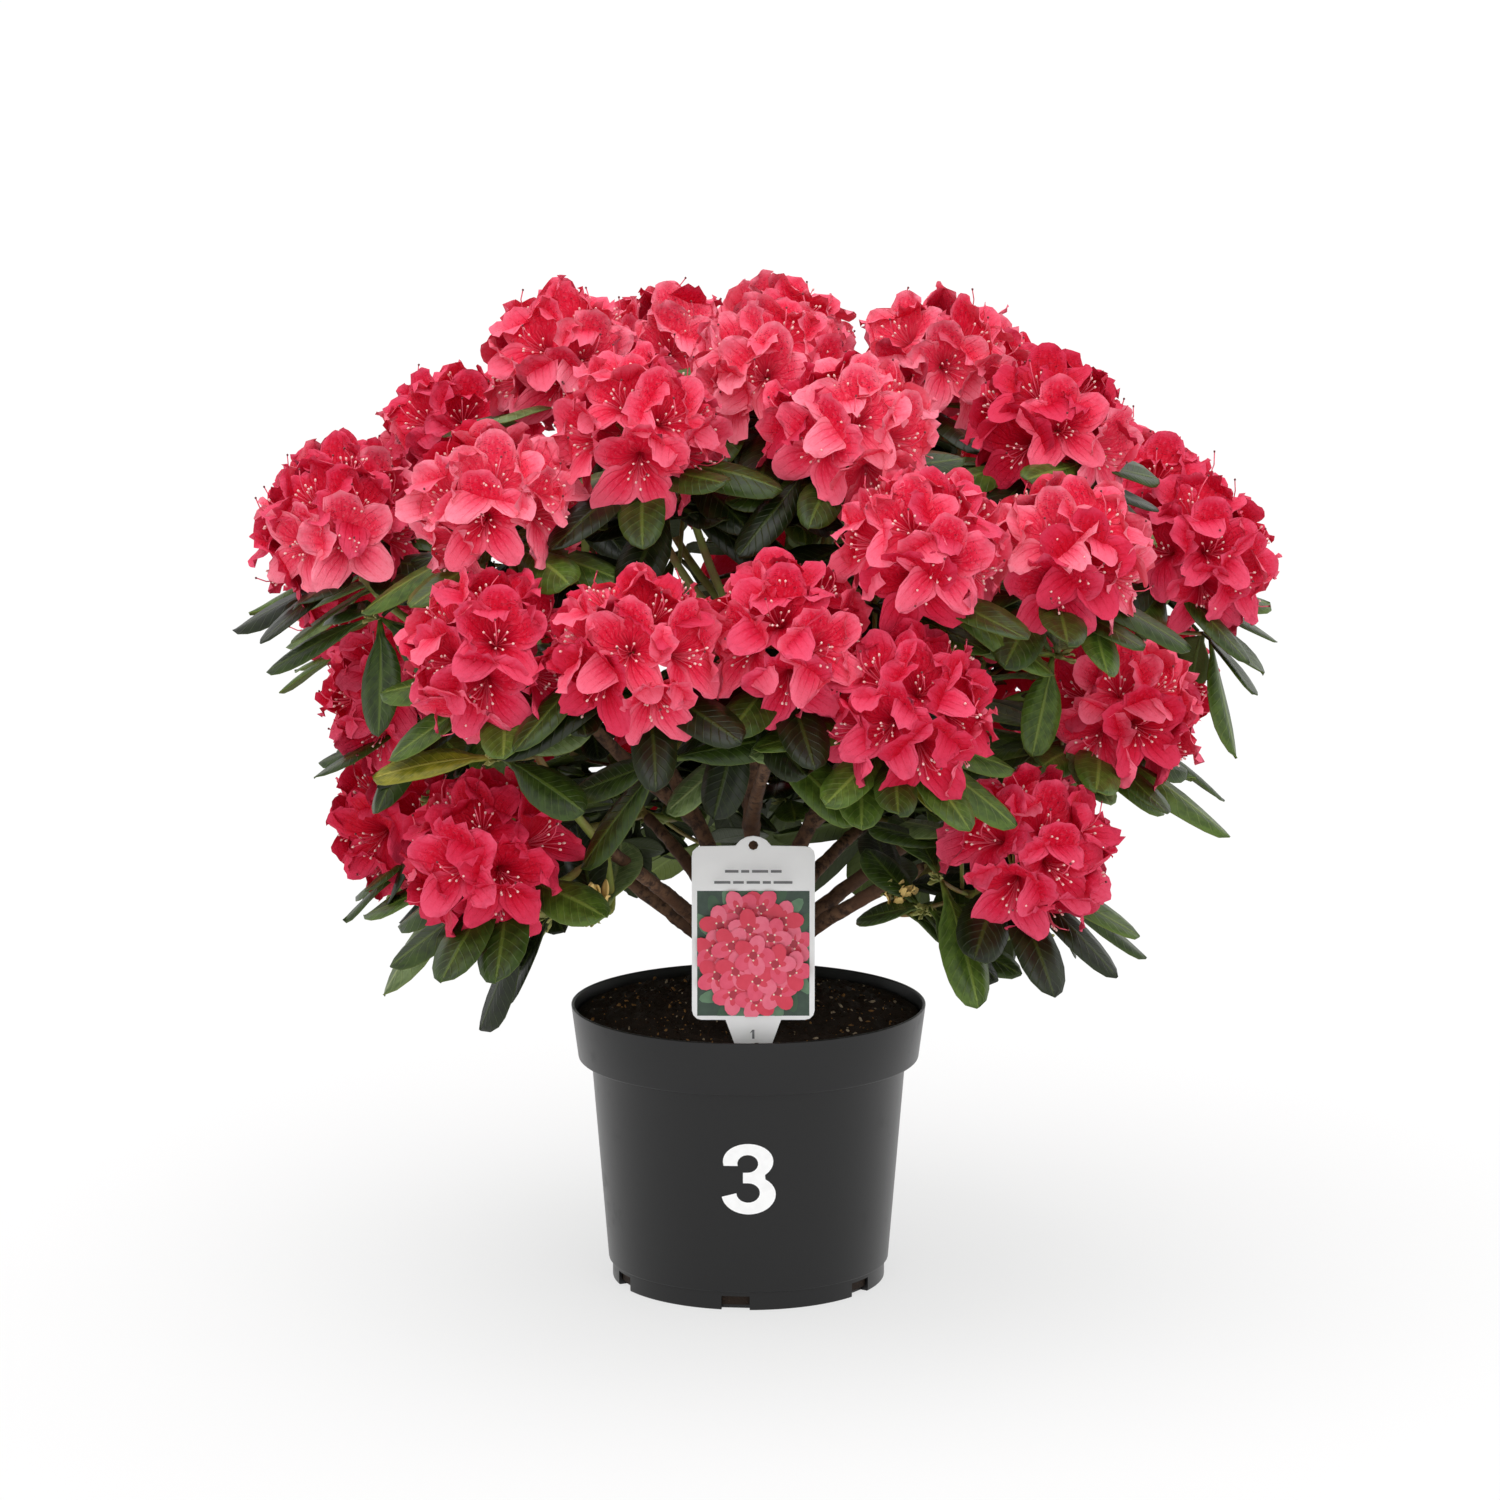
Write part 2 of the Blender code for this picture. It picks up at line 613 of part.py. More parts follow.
def build_sprays(sprays, lines, keep_clear, collection, workshop):
    """Each spray is one solid: a stem from its bough's tip, a twig to each head, and whorls of leaves."""
    everyone = [head for heads in sprays.values() for head in heads]
    pieces = {name: [] for name in sprays}
    taken = [(None, tree_of(mesh)) for mesh in keep_clear]

    def add(name, piece, head=None):
        pieces[name].append(piece)
        taken.append((head, tree_of(piece.data)))

    for name, heads in sprays.items():
        points, radii = lines[name]
        way = (points[-1] - points[-2]).normalized()
        start = points[-1] + way * CLEAR
        fork = start + way * SPRAY_STEM
        stem = [start, fork, fork + way * STEM_TIP]
        add(name, tube("stem", stem, [radii[-1], radii[-1], TWIG_RADIUS], 0, workshop))
        for head in heads:
            collar = collar_foot(head)
            bend = collar - head.facing * (collar - fork).length * 0.45
            line = bezier(fork - way * TWIG_SUNK, bend, collar, 2)
            radii_along = [TWIG_RADIUS * 1.25, TWIG_RADIUS, COLLAR_RADIUS, COLLAR_RADIUS]
            if head.in_flower:
                line.append(head.centre - head.facing * HEAD_RADIUS * HEART_SIZE * 0.5)
                turn = generator(head).uniform(0, math.tau)
                flowers = head_mesh(head, room_round(head, everyone), turn)
                add(name, add_object("head", flowers, workshop), head)
            else:
                ends = COLLAR_LENGTH, COLLAR_LENGTH + BUD_LENGTH
                line += [collar + head.facing * end for end in ends]
                radii_along.append(BUD_TIP_RADIUS)
            add(name, tube("twig", line, radii_along, 0, workshop), head)
    for name, heads in sprays.items():
        for head in heads:
            for leaf in whorl(head, heads, everyone, taken):
                add(name, add_object("leaf", leaf, workshop))
    return {name: join(name, found, collection, workshop) for name, found in pieces.items()}


def room_round(head, everyone):
    """How far a head may reach towards each neighbour: half way, less the gap."""
    found = []
    for other in everyone:
        gap = (other.centre - head.centre).length
        if 0 < gap < 2.2 * HEAD_RADIUS and other.in_flower:
            found.append(((other.centre - head.centre) / gap, gap / 2 - 2 * CLEAR))
    return found


def generator(head):
    """Random numbers that are a head's own, so a change to one head leaves the others as they are."""
    return random.Random(f"{SEED} {head.number}")


def whorl(head, heads, everyone, taken):
    """The leaves under one head, their roots one above the other round its collar. A leaf that would touch
    anything but its own twig, or end nearer another spray's heads than its own, is turned, then skipped."""
    facing = head.facing
    across = facing.orthogonal().normalized()
    up = (Vector((0, 0, 1)) + facing * 0.6).normalized()
    others = [tree for owner, tree in taken if owner is not head]
    rng = generator(head)
    first = rng.uniform(0, math.tau)
    for i in range(LEAVES_UNDER_HEAD):
        step = (i * LEAF_STRIDE % LEAVES_UNDER_HEAD + 0.7) / LEAVES_UNDER_HEAD
        for _ in range(TRIES_PER_LEAF):
            angle = first + math.tau * (i + rng.uniform(-0.2, 0.2)) / LEAVES_UNDER_HEAD
            out = Quaternion(facing, angle) @ across
            way = out - facing * rng.uniform(0.15, 0.55) - Vector((0, 0, rng.uniform(0.05, 0.3)))
            way.normalize()
            root = collar_foot(head) + facing * COLLAR_LENGTH * step * 0.9 - way * COLLAR_RADIUS * LEAF_SUNK
            length = LEAF_LENGTH * rng.uniform(0.86, 1.08)
            width = LEAF_WIDTH * rng.uniform(0.9, 1.08)
            droop = rng.uniform(0.10, 0.30)
            tip = root + way * length
            own = min((tip - h.centre).length for h in heads)
            strays = min((tip - h.centre).length for h in everyone) < own - SPACE_SHARED
            if strays or way.cross(up).length < 0.2:
                continue
            trial = tree_of(leaf_mesh(root, way, up, length, width, droop, 1.05))
            if any(trial.overlap(tree) for tree in others):
                continue
            leaf = leaf_mesh(root, way, up, length, width, droop)
            others.append(tree_of(leaf))
            yield leaf
            break


def join(name, pieces, collection, workshop):
    """One Boolean union of everything in the spray."""
    stem = pieces[0]
    workshop.objects.unlink(stem)
    collection.objects.link(stem)
    parts = bpy.data.collections.new("parts_of_" + name)
    bpy.context.scene.collection.children.link(parts)
    for piece in pieces[1:]:
        workshop.objects.unlink(piece)
        parts.objects.link(piece)
    boolean(stem, "UNION", cutters=parts, solver="MANIFOLD")
    keep_body(stem.data)
    clear_away(parts.objects)
    bpy.data.collections.remove(parts)
    stem.name = stem.data.name = "foliage_" + name
    return stem


# Putting it together
def new_collection(name):
    made = bpy.data.collections.new(name)
    bpy.context.scene.collection.children.link(made)
    return made


def finish(objects, look, smooth=None):
    for obj in objects:
        obj.data.materials.clear()
        obj.data.materials.append(look)
        if smooth is not None:
            obj.data.shade_smooth()
            obj.data.set_sharp_from_angle(angle=math.radians(smooth))


def main():
    clear_away(bpy.data.objects)
    plant = new_collection("potted_rhododendron")
    cutters = new_collection("cutters")
    workshop = new_collection("workshop")

    pot = build_pot(plant, cutters)
    soil = build_soil(plant, cutters)
    label = build_label(plant)
    sprays = spray_heads()
    lines = bough_lines(sprays)
    limbs = build_limbs(lines, plant, cutters)
    keep_clear = [obj.data for obj in (pot, soil, label, *limbs.values())]
    foliage = build_sprays(sprays, lines, keep_clear, plant, workshop)

    finish([pot], material("black_pot_plastic", (0.032, 0.033, 0.034), 0.45), 30)
    finish([soil], material("moist_compost", (0.020, 0.014, 0.010), 0.95))
    finish([label], material("white_label_plastic", (0.80, 0.80, 0.80), 0.35), 30)
    finish(limbs.values(), material("brown_bark", (0.085, 0.045, 0.030), 0.85), 50)
    finish(foliage.values(), material("leaf_and_flower", (0.62, 0.05, 0.10), 0.6))
    bpy.data.collections.remove(cutters)
    bpy.data.collections.remove(workshop)


main()
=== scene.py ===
"""Looks of the potted rhododendron in full flower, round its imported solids. Metres, +Z up, front at -Y."""

import random
from collections import namedtuple
from math import acos, cos, exp, pi, radians, sin, sqrt, tau

import bmesh
import bpy
import numpy as np
from mathutils import Matrix, Quaternion, Vector, noise


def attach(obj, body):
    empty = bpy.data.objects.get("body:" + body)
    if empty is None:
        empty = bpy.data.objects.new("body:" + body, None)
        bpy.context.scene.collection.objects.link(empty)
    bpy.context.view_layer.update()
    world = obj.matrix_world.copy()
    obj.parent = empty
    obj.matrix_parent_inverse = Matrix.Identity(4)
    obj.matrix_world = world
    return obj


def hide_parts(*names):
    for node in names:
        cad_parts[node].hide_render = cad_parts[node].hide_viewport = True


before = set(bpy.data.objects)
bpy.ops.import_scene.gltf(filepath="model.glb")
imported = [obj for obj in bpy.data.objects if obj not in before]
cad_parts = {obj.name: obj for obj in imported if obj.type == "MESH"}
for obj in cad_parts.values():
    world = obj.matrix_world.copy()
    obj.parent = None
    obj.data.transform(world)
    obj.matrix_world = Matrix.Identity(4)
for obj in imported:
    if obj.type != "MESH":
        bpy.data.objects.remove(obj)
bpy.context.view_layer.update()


# The pot
# A round nursery pot moulded in charcoal plastic: a tapering wall, a collar that steps out at the top, and a
# foot ring that stands in from the wall, with drain notches cut through its corner.
POT_HEIGHT, POT_WALL, POT_FLOOR = 0.150, 0.0016, 0.0022
POT_RIM_RADIUS, POT_WAIST_RADIUS, POT_FOOT_RADIUS = 0.095, 0.0843, 0.0745
BAND_HEIGHT, BAND_FOOT_RADIUS = 0.029, 0.0912
FOOT_RING_HEIGHT, FOOT_RING_STEP = 0.0104, 0.0012
NOTCHES, NOTCH_TURN = 6, -0.09
NOTCH_WIDTH, NOTCH_HEIGHT, NOTCH_DEPTH = 0.015, 0.0076, 0.005
LIP_ROUND, STEP_ROUND = 0.0007, 0.0010
POT_TURN_STEPS, POT_SHARP = 160, 38


def screen(channels):
    """A colour as it looks on screen, 0 to 255, in the linear values that shaders take."""
    shares = [channel / 255 for channel in channels]
    return tuple(s / 12.92 if s <= 0.04045 else ((s + 0.055) / 1.055) ** 2.4 for s in shares)


class Value:
    """A number that a material works out, so that sums can be written with it."""

    def __init__(self, finish, socket):
        self.finish, self.socket = finish, socket

    def __add__(self, other):
        return self.finish.math("ADD", self, other)

    def __sub__(self, other):
        return self.finish.math("SUBTRACT", self, other)

    def __rsub__(self, other):
        return self.finish.math("SUBTRACT", other, self)

    def __mul__(self, other):
        return self.finish.math("MULTIPLY", self, other)


class Finish:
    """A material in the making. Each method adds nodes and gives back what they work out."""

    def __init__(self, name, **constants):
        self.material = bpy.data.materials.new(name)
        self.material.use_nodes = True
        self.tree = self.material.node_tree
        for socket, value in constants.items():
            self.set(socket.replace("_", " "), value)

    def node(self, kind, values, **settings):
        made = self.tree.nodes.new("ShaderNode" + kind)
        for key, value in settings.items():
            setattr(made, key, value)
        for key, value in values.items():
            self.feed(made.inputs[key], value)
        return made.outputs

    def feed(self, socket, value):
        """Gives a socket its value. A tuple is a colour as it looks on screen."""
        value = getattr(value, "socket", value)
        if isinstance(value, bpy.types.NodeSocket):
            self.tree.links.new(value, socket)
        else:
            socket.default_value = (*screen(value), 1) if isinstance(value, tuple) else value

    def set(self, socket, value):
        self.feed(self.tree.nodes["Principled BSDF"].inputs[socket], value)

    def own_map(self):
        """The place on the piece's own UV map, and its two shares."""
        place = self.node("UVMap", {}, uv_map="OFBake")[0]
        parts = self.node("SeparateXYZ", {"Vector": place})
        return place, Value(self, parts["X"]), Value(self, parts["Y"])

    def math(self, operation, *values):
        return Value(self, self.node("Math", dict(enumerate(values)), operation=operation)[0])

    def ramp(self, value, low, high):
        """0 where the value is at low, 1 where it is at high, smooth between them."""
        values = {"Value": value, "From Min": low, "From Max": high}
        return Value(self, self.node("MapRange", values, interpolation_type="SMOOTHSTEP")[0])

    def blend(self, share, first, second):
        return self.node("Mix", {0: share, 6: first, 7: second}, data_type="RGBA")[2]

    def colour(self, share, first, second):
        self.set("Base Color", self.blend(share, first, second))

    def grain(self, scale, detail=2, roughness=0.5, where=None):
        """Soft noise through the object, or over a map."""
        where = where or self.node("TexCoord", {})["Object"]
        values = {"Vector": where, "Scale": scale, "Detail": detail, "Roughness": roughness}
        return Value(self, self.node("TexNoise", values)[0])

    def bump(self, height, depth):
        self.set("Normal", self.node("Bump", {"Height": height, "Distance": depth, "Strength": 1.0})[0])


def two_toned(name, low, high, scale, detail=2, **constants):
    """A finish that runs unevenly from one tone to another."""
    finish = Finish(name, **constants)
    finish.colour(finish.grain(scale, detail), low, high)
    return finish


def add_piece(name, mesh, finishes, replaced=()):
    """Puts a finished mesh in the scene with its materials, riding on the plant's one body."""
    obj = bpy.data.objects.new(name, mesh)
    bpy.context.scene.collection.objects.link(obj)
    for finish in finishes:
        mesh.materials.append(finish.material)
    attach(obj, "root")
    if replaced:
        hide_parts(*replaced)


def mesh_of(name, bm):
    """Closes a bmesh into a smooth mesh."""
    mesh = bpy.data.meshes.new(name)
    bm.to_mesh(mesh)
    bm.free()
    mesh.shade_smooth()
    return mesh


def wall_radius(height):
    """Outer radius of the pot's wall under the collar."""
    share = height / (POT_HEIGHT - BAND_HEIGHT)
    return POT_FOOT_RADIUS + (POT_WAIST_RADIUS - POT_FOOT_RADIUS) * share


def eased(corners, steps=3):
    """Rounds each corner of a line of (radius, height, rounding) corners."""
    found = [Vector(corners[0][:2])]
    for before, here, after in zip(corners, corners[1:], corners[2:]):
        middle = Vector(here[:2])
        into = (Vector(before[:2]) - middle).normalized() * here[2]
        out = (Vector(after[:2]) - middle).normalized() * here[2]
        for i in range(steps + 1):
            t = i / steps
            found.append(middle + into * (1 - t) ** 2 + out * t ** 2)
    return found + [Vector(corners[-1][:2])]


def turned(profile, steps):
    """A solid of revolution: the profile's line spun round the Z axis and merged."""
    bm = bmesh.new()
    line = [bm.verts.new((x, 0, z)) for x, z in profile]
    edges = [bm.edges.new(pair) for pair in zip(line, line[1:])]
    around = {"axis": (0, 0, 1), "cent": (0, 0, 0), "dvec": (0, 0, 0), "angle": tau}
    bmesh.ops.spin(bm, geom=line + edges, steps=steps, use_merge=True, use_duplicate=False, **around)
    bmesh.ops.remove_doubles(bm, verts=bm.verts, dist=1e-6)
    bmesh.ops.recalc_face_normals(bm, faces=bm.faces)
    return bm


def cut_away(piece, cutters):
    """Cuts the cutters' mesh out of the piece's mesh, and gives back the result."""
    objects = [bpy.data.objects.new("cutting", mesh) for mesh in (piece, cutters)]
    for obj in objects:
        bpy.context.scene.collection.objects.link(obj)
    cut = objects[0].modifiers.new("Cut", "BOOLEAN")
    cut.operation = "DIFFERENCE"
    cut.object = objects[1]
    cut.use_self = True
    graph = bpy.context.evaluated_depsgraph_get()
    mesh = bpy.data.meshes.new_from_object(objects[0].evaluated_get(graph))
    for obj in objects:
        bpy.data.objects.remove(obj)
    return mesh


shoulder = POT_HEIGHT - BAND_HEIGHT
foot_radius = POT_FOOT_RADIUS - FOOT_RING_STEP
over_foot = FOOT_RING_HEIGHT + POT_WALL
pot_corners = (
    (0, POT_FLOOR, 0),
    (foot_radius - POT_WALL, POT_FLOOR, STEP_ROUND),
    (foot_radius - POT_WALL, FOOT_RING_HEIGHT, STEP_ROUND * 0.3),
    (wall_radius(over_foot) - POT_WALL, over_foot, STEP_ROUND * 0.3),
    (POT_WAIST_RADIUS - POT_WALL, shoulder + POT_WALL, STEP_ROUND),
    (BAND_FOOT_RADIUS - POT_WALL, shoulder + POT_WALL, STEP_ROUND),
    (POT_RIM_RADIUS - POT_WALL, POT_HEIGHT, LIP_ROUND),
    (POT_RIM_RADIUS, POT_HEIGHT, LIP_ROUND),
    (BAND_FOOT_RADIUS, shoulder, STEP_ROUND),
    (POT_WAIST_RADIUS, shoulder, STEP_ROUND * 0.5),
    (wall_radius(FOOT_RING_HEIGHT), FOOT_RING_HEIGHT, STEP_ROUND * 0.5),
    (foot_radius, FOOT_RING_HEIGHT - FOOT_RING_STEP * 0.5, STEP_ROUND * 0.3),
    (foot_radius, 0, LIP_ROUND),
    (0, 0, 0),
)
notches = bmesh.new()
for i in range(NOTCHES):
    cube = bmesh.ops.create_cube(notches, size=1)["verts"]
    bmesh.ops.scale(notches, vec=(NOTCH_WIDTH, 2 * NOTCH_DEPTH, 2 * NOTCH_HEIGHT), verts=cube)
    bmesh.ops.translate(notches, vec=(0, -foot_radius, 0), verts=cube)
    turn = Matrix.Rotation(tau * (i + NOTCH_TURN) / NOTCHES, 3, "Z")
    bmesh.ops.rotate(notches, cent=(0, 0, 0), matrix=turn, verts=cube)
whole_pot = mesh_of("pot", turned(eased(pot_corners), POT_TURN_STEPS))
pot = cut_away(whole_pot, mesh_of("notches", notches))
pot.shade_smooth()
pot.set_sharp_from_angle(angle=radians(POT_SHARP))

# Charcoal plastic with a satin skin, faintly scuffed over a fine moulded grain
plastic = two_toned("pot_plastic", (13, 13, 14), (18, 18, 19), 14, 4, Specular_IOR_Level=0.40)
scuffs = plastic.ramp(plastic.grain(60, 5, 0.7), 0.55, 0.75)
plastic.set("Roughness", scuffs * 0.08 + 0.36)
plastic.bump(plastic.grain(1400), 0.00004)
add_piece("nursery_pot", pot, [plastic], ["pot"])


# The number on the pot
# A plain white figure three that gives the pot's size class, printed on the front of the wall. It is a thin
# skin of ink that follows the wall's cone: two bowls, their inner edges and a middle bar.
FIGURE_MIDDLE, FIGURE_PROUD, FIGURE_STRIP = 0.0735, 0.00015, 0.0015
MM = 0.001
UPPER_BOWL, UPPER_HOLE, LOWER_BOWL, LOWER_HOLE = (-0.2, 9.6), (-0.4, 8.5), (0.1, -8.7), (-0.2, -7.6)


def oval(centre, half_width, half_height, start, end, steps):
    """Points along an arc of an ellipse, from start to end in degrees."""
    angles = [radians(start + (end - start) * i / steps) for i in range(steps + 1)]
    return [(centre[0] + half_width * cos(a), centre[1] + half_height * sin(a)) for a in angles]


outline = oval(UPPER_BOWL, 13.3, 9.9, 194, -48, 20) + oval(LOWER_BOWL, 14.3, 10.8, 52, -173, 22)
outline += oval(LOWER_HOLE, 6.2, 5.4, -178, 90, 16) + [(-2.9, -2.2), (-2.9, 3.6)]
outline += oval(UPPER_HOLE, 5.5, 4.9, -90, 194, 14)
figure = bmesh.new()
ring = [figure.verts.new((x * MM, 0, z * MM)) for x, z in outline]
bmesh.ops.triangle_fill(figure, edges=[figure.edges.new(pair) for pair in zip(ring, ring[1:] + ring[:1])])
reach = max(vert.co.x for vert in figure.verts)
for i in range(int(-reach / FIGURE_STRIP), int(reach / FIGURE_STRIP) + 1):
    everything = figure.verts[:] + figure.edges[:] + figure.faces[:]
    bmesh.ops.bisect_plane(figure, geom=everything, plane_co=(i * FIGURE_STRIP, 0, 0), plane_no=(1, 0, 0))
for vert in figure.verts:
    height = FIGURE_MIDDLE + vert.co.z
    radius = wall_radius(height) + FIGURE_PROUD
    angle = vert.co.x / radius
    vert.co = (radius * sin(angle), -radius * cos(angle), height)
bmesh.ops.recalc_face_normals(figure, faces=figure.faces)
if sum(face.normal.y for face in figure.faces) > 0:
    bmesh.ops.reverse_faces(figure, faces=figure.faces)

white_ink = Finish("white_ink", Roughness=0.5)
white_ink.colour(white_ink.ramp(white_ink.grain(160, 3), 0.3, 0.6), (246, 246, 246), (252, 252, 252))
add_piece("pot_number", mesh_of("pot_number", figure), [white_ink])


# The compost
# Moist dark compost, heaped a little round the trunk. Its top is crumbly, with bark chips, fibres and a few
# tan crumbs lying loose on it.
CLEAR = 0.0003
SOIL_BELOW_RIM, SOIL_MOUND = 0.006, 0.006
MOUND_FLAT_RADIUS, MOUND_SHOULDER = 0.026, 0.62
HEAP_RISE, HEAP_RADIUS = 0.007, 0.045
HEAP_MIDDLE = 0.022 * Vector((cos(radians(125)), sin(radians(125))))
SOIL_RING, SOIL_TURN_STEPS = 0.0014, 200
CRUMB_HEIGHT, CALM_EDGE = 0.0024, 0.004
CHIPS, CHIP_SIZES = 1500, (0.0008, 0.0012, 0.0014, 0.0026)
SEED = 19

soil_level = POT_HEIGHT - SOIL_BELOW_RIM
mound_level = soil_level + SOIL_MOUND
inside = POT_WALL + 2 * CLEAR
band_inside = shoulder + POT_WALL
rise = (soil_level - band_inside) / (POT_HEIGHT - band_inside)
soil_edge = BAND_FOOT_RADIUS + (POT_RIM_RADIUS - BAND_FOOT_RADIUS) * rise - inside - 2 * CLEAR


def soil_height(radius):
    """Height of the compost at a distance from the trunk."""
    stations = (0, MOUND_FLAT_RADIUS, (soil_edge + MOUND_FLAT_RADIUS) / 2, soil_edge)
    levels = (mound_level, mound_level, soil_level + SOIL_MOUND * MOUND_SHOULDER, soil_level)
    return float(np.interp(radius, stations, levels))


def crumbs(place):
    """How far the surface stands up or down at a place: a heap behind the middle, and crumbly clods."""
    clods = noise.noise(place * 90) * 0.9 + noise.noise(place * 210) * 0.7
    heap = HEAP_RISE * exp(-((place.xy - HEAP_MIDDLE).length / HEAP_RADIUS) ** 2)
    return heap + CRUMB_HEIGHT * (clods + abs(noise.noise(place * 480)) * 0.9 - 0.2)


rings = round(soil_edge / SOIL_RING)
soil_profile = [(soil_edge * i / rings, soil_height(soil_edge * i / rings)) for i in range(rings + 1)]
soil_profile += [
    (BAND_FOOT_RADIUS - inside, band_inside + 2 * CLEAR),
    (POT_WAIST_RADIUS - inside, band_inside + 2 * CLEAR),
    (wall_radius(over_foot) - inside, over_foot + CLEAR),
    (foot_radius - inside, FOOT_RING_HEIGHT + CLEAR),
    (foot_radius - inside, POT_FLOOR + CLEAR),
    (0, POT_FLOOR + CLEAR),
]
soil = turned(soil_profile, SOIL_TURN_STEPS)
for vert in soil.verts:
    if vert.co.z > soil_level - CLEAR:
        vert.co.z += crumbs(vert.co) * min(1.0, (soil_edge - vert.co.xy.length) / CALM_EDGE)

# Nearly black peat with brown fibres, dull all over
peat = Finish("moist_compost", Specular_IOR_Level=0.25)
fibres, patches = peat.grain(700, 4, 0.7), peat.grain(60, 3)
peat.colour(peat.ramp(fibres, 0.60, 0.72), peat.blend(patches, (30, 22, 17), (48, 35, 26)), (92, 68, 47))
peat.set("Roughness", patches * 0.2 + 0.75)
peat.bump(fibres, 0.0006)
add_piece("compost_heap", mesh_of("compost_heap", soil), [peat], ["compost"])


def pattern_of(bm):
    """A bmesh as arrays: its points, and its faces grouped by their number of corners."""
    bm.verts.index_update()
    points = np.array([vert.co[:] for vert in bm.verts])
    faces = {}
    for face in bm.faces:
        faces.setdefault(len(face.verts), []).append([vert.index for vert in face.verts])
    bm.free()
    return points, [np.array(group) for group in faces.values()]


def add_copies(name, batches, finishes, replaced=()):
    """Adds a piece joined from batches of copies. A batch holds a pattern's face groups, each copy's points,
    the slot of each or of all, and, for finishes that read them, the UVs of each group's corners."""
    places, corners, sides, slots, pairs = [], [], [], [], []
    base = 0
    for groups, copies, copy_slots, *uvs in batches:
        copies = np.asarray(copies, np.float32)
        number, size = copies.shape[:2]
        places.append(copies.reshape(-1, 3))
        firsts = base + size * np.arange(number)
        for index, faces in enumerate(groups):
            corners.append((faces[None] + firsts[:, None, None]).reshape(-1))
            sides.append(np.full(number * len(faces), faces.shape[1]))
            slots.append(np.repeat(np.broadcast_to(copy_slots, number), len(faces)))
            if uvs:
                pairs.append(np.tile(uvs[0][index].reshape(-1, 2), (number, 1)))
        base += number * size
    places, corners, sides = np.concatenate(places), np.concatenate(corners), np.concatenate(sides)
    mesh = bpy.data.meshes.new(name)
    mesh.vertices.add(len(places))
    mesh.vertices.foreach_set("co", places.ravel())
    mesh.loops.add(len(corners))
    mesh.loops.foreach_set("vertex_index", corners.astype(np.int32))
    mesh.polygons.add(len(sides))
    mesh.polygons.foreach_set("loop_start", (np.cumsum(sides) - sides).astype(np.int32))
    mesh.polygons.foreach_set("material_index", np.concatenate(slots).astype(np.int32))
    if pairs:
        layer = mesh.uv_layers.new(name="OFBake")
        layer.data.foreach_set("uv", np.concatenate(pairs).astype(np.float32).ravel())
    mesh.update(calc_edges=True)
    mesh.shade_smooth()
    add_piece(name, mesh, finishes, replaced)


chip_bm = bmesh.new()
bmesh.ops.create_icosphere(chip_bm, subdivisions=1, radius=0.5)
chip_points, chip_faces = pattern_of(chip_bm)
rng = random.Random(SEED)
chips, chip_slots = [], []
for _ in range(CHIPS):
    radius = (soil_edge - CALM_EDGE) * sqrt(rng.random())
    angle = rng.uniform(0, tau)
    place = Vector((radius * cos(angle), radius * sin(angle), soil_height(radius)))
    place.z += crumbs(place)
    size = np.array([rng.uniform(0.8, 1.8), rng.uniform(0.5, 1.1), rng.uniform(0.3, 0.7)])
    size *= rng.choice(CHIP_SIZES)
    uneven = 1 + 0.25 * np.array([[rng.uniform(-1, 1)] for _ in chip_points])
    turn = np.array(Quaternion([rng.gauss(0, 1) for _ in range(4)]).normalized().to_matrix())
    chips.append((chip_points * uneven * size) @ turn.T + np.array(place))
    chip_slots.append(rng.choices((0, 1, 2), (72, 20, 8))[0])

chip_finishes = []
for name, low, high in (
    ("dark_bark_chip", (24, 17, 12), (62, 43, 29)),
    ("tan_fibre", (110, 78, 44), (172, 128, 78)),
    ("pale_grit", (150, 128, 100), (188, 172, 148)),
):
    finish = two_toned(name, low, high, 420, Roughness=0.9, Specular_IOR_Level=0.2)
    finish.bump(finish.grain(2500), 0.0002)
    chip_finishes.append(finish)
add_copies("compost_chips", [(chip_faces, chips, chip_slots)], chip_finishes)


# The plant label
# A white plastic tag pushed into the compost. The panel carries a generic picture of pink blossoms on dark
# leaves, two rows of plain dashes in place of lines of print, and the figure one on its stake.
LABEL_THICK, LABEL_LEAN = 0.0009, radians(1.5)
LABEL_PLACE = Vector((0.0025, -0.0785, 0.159))
PICTURE_WIDTH, PICTURE_FOOT, PICTURE_TOP = 0.0585, 0.0022, 0.0685
INK_LAYER, LEAST_PRINT = 0.00002, 0.0004
POSY_HALF_WIDTH, POSY_HALF_HEIGHT = 0.0215, 0.0245
POSY_RINGS = ((11, 1.0, 12), (6, 0.56, 40), (1, 0, 0))
POSY_LEAVES, BLOSSOM_SIZE = 20, 0.0108
DASH_ROWS = ((0.0792, (5, 3, 6, 4)), (0.0734, (6, 4, 5, 3, 7)))
DASH_UNIT = DASH_HEIGHT = 0.0014
STROKE, STAKE_FIGURE_FOOT, STAKE_FIGURE_TOP = 0.0006, -0.0088, -0.0040
INKS = (
    ("ink_shade", (30, 52, 40), (58, 82, 66)),
    ("ink_leaf", (74, 112, 80), (108, 142, 110)),
    ("ink_leaf_dark", (42, 76, 50), (60, 94, 62)),
    ("ink_rose", (224, 58, 94), (240, 92, 122)),
    ("ink_pink", (236, 88, 120), (246, 124, 148)),
    ("ink_coral", (214, 34, 66), (230, 62, 90)),
    ("ink_crimson", (168, 22, 50), (190, 36, 66)),
    ("ink_cream", (240, 214, 190), (248, 230, 212)),
    ("ink_grey", (86, 86, 88), (112, 112, 114)),
)
SHADE, LEAF, LEAF_DARK, ROSE, PINK, CORAL, CRIMSON, CREAM, GREY = range(len(INKS))

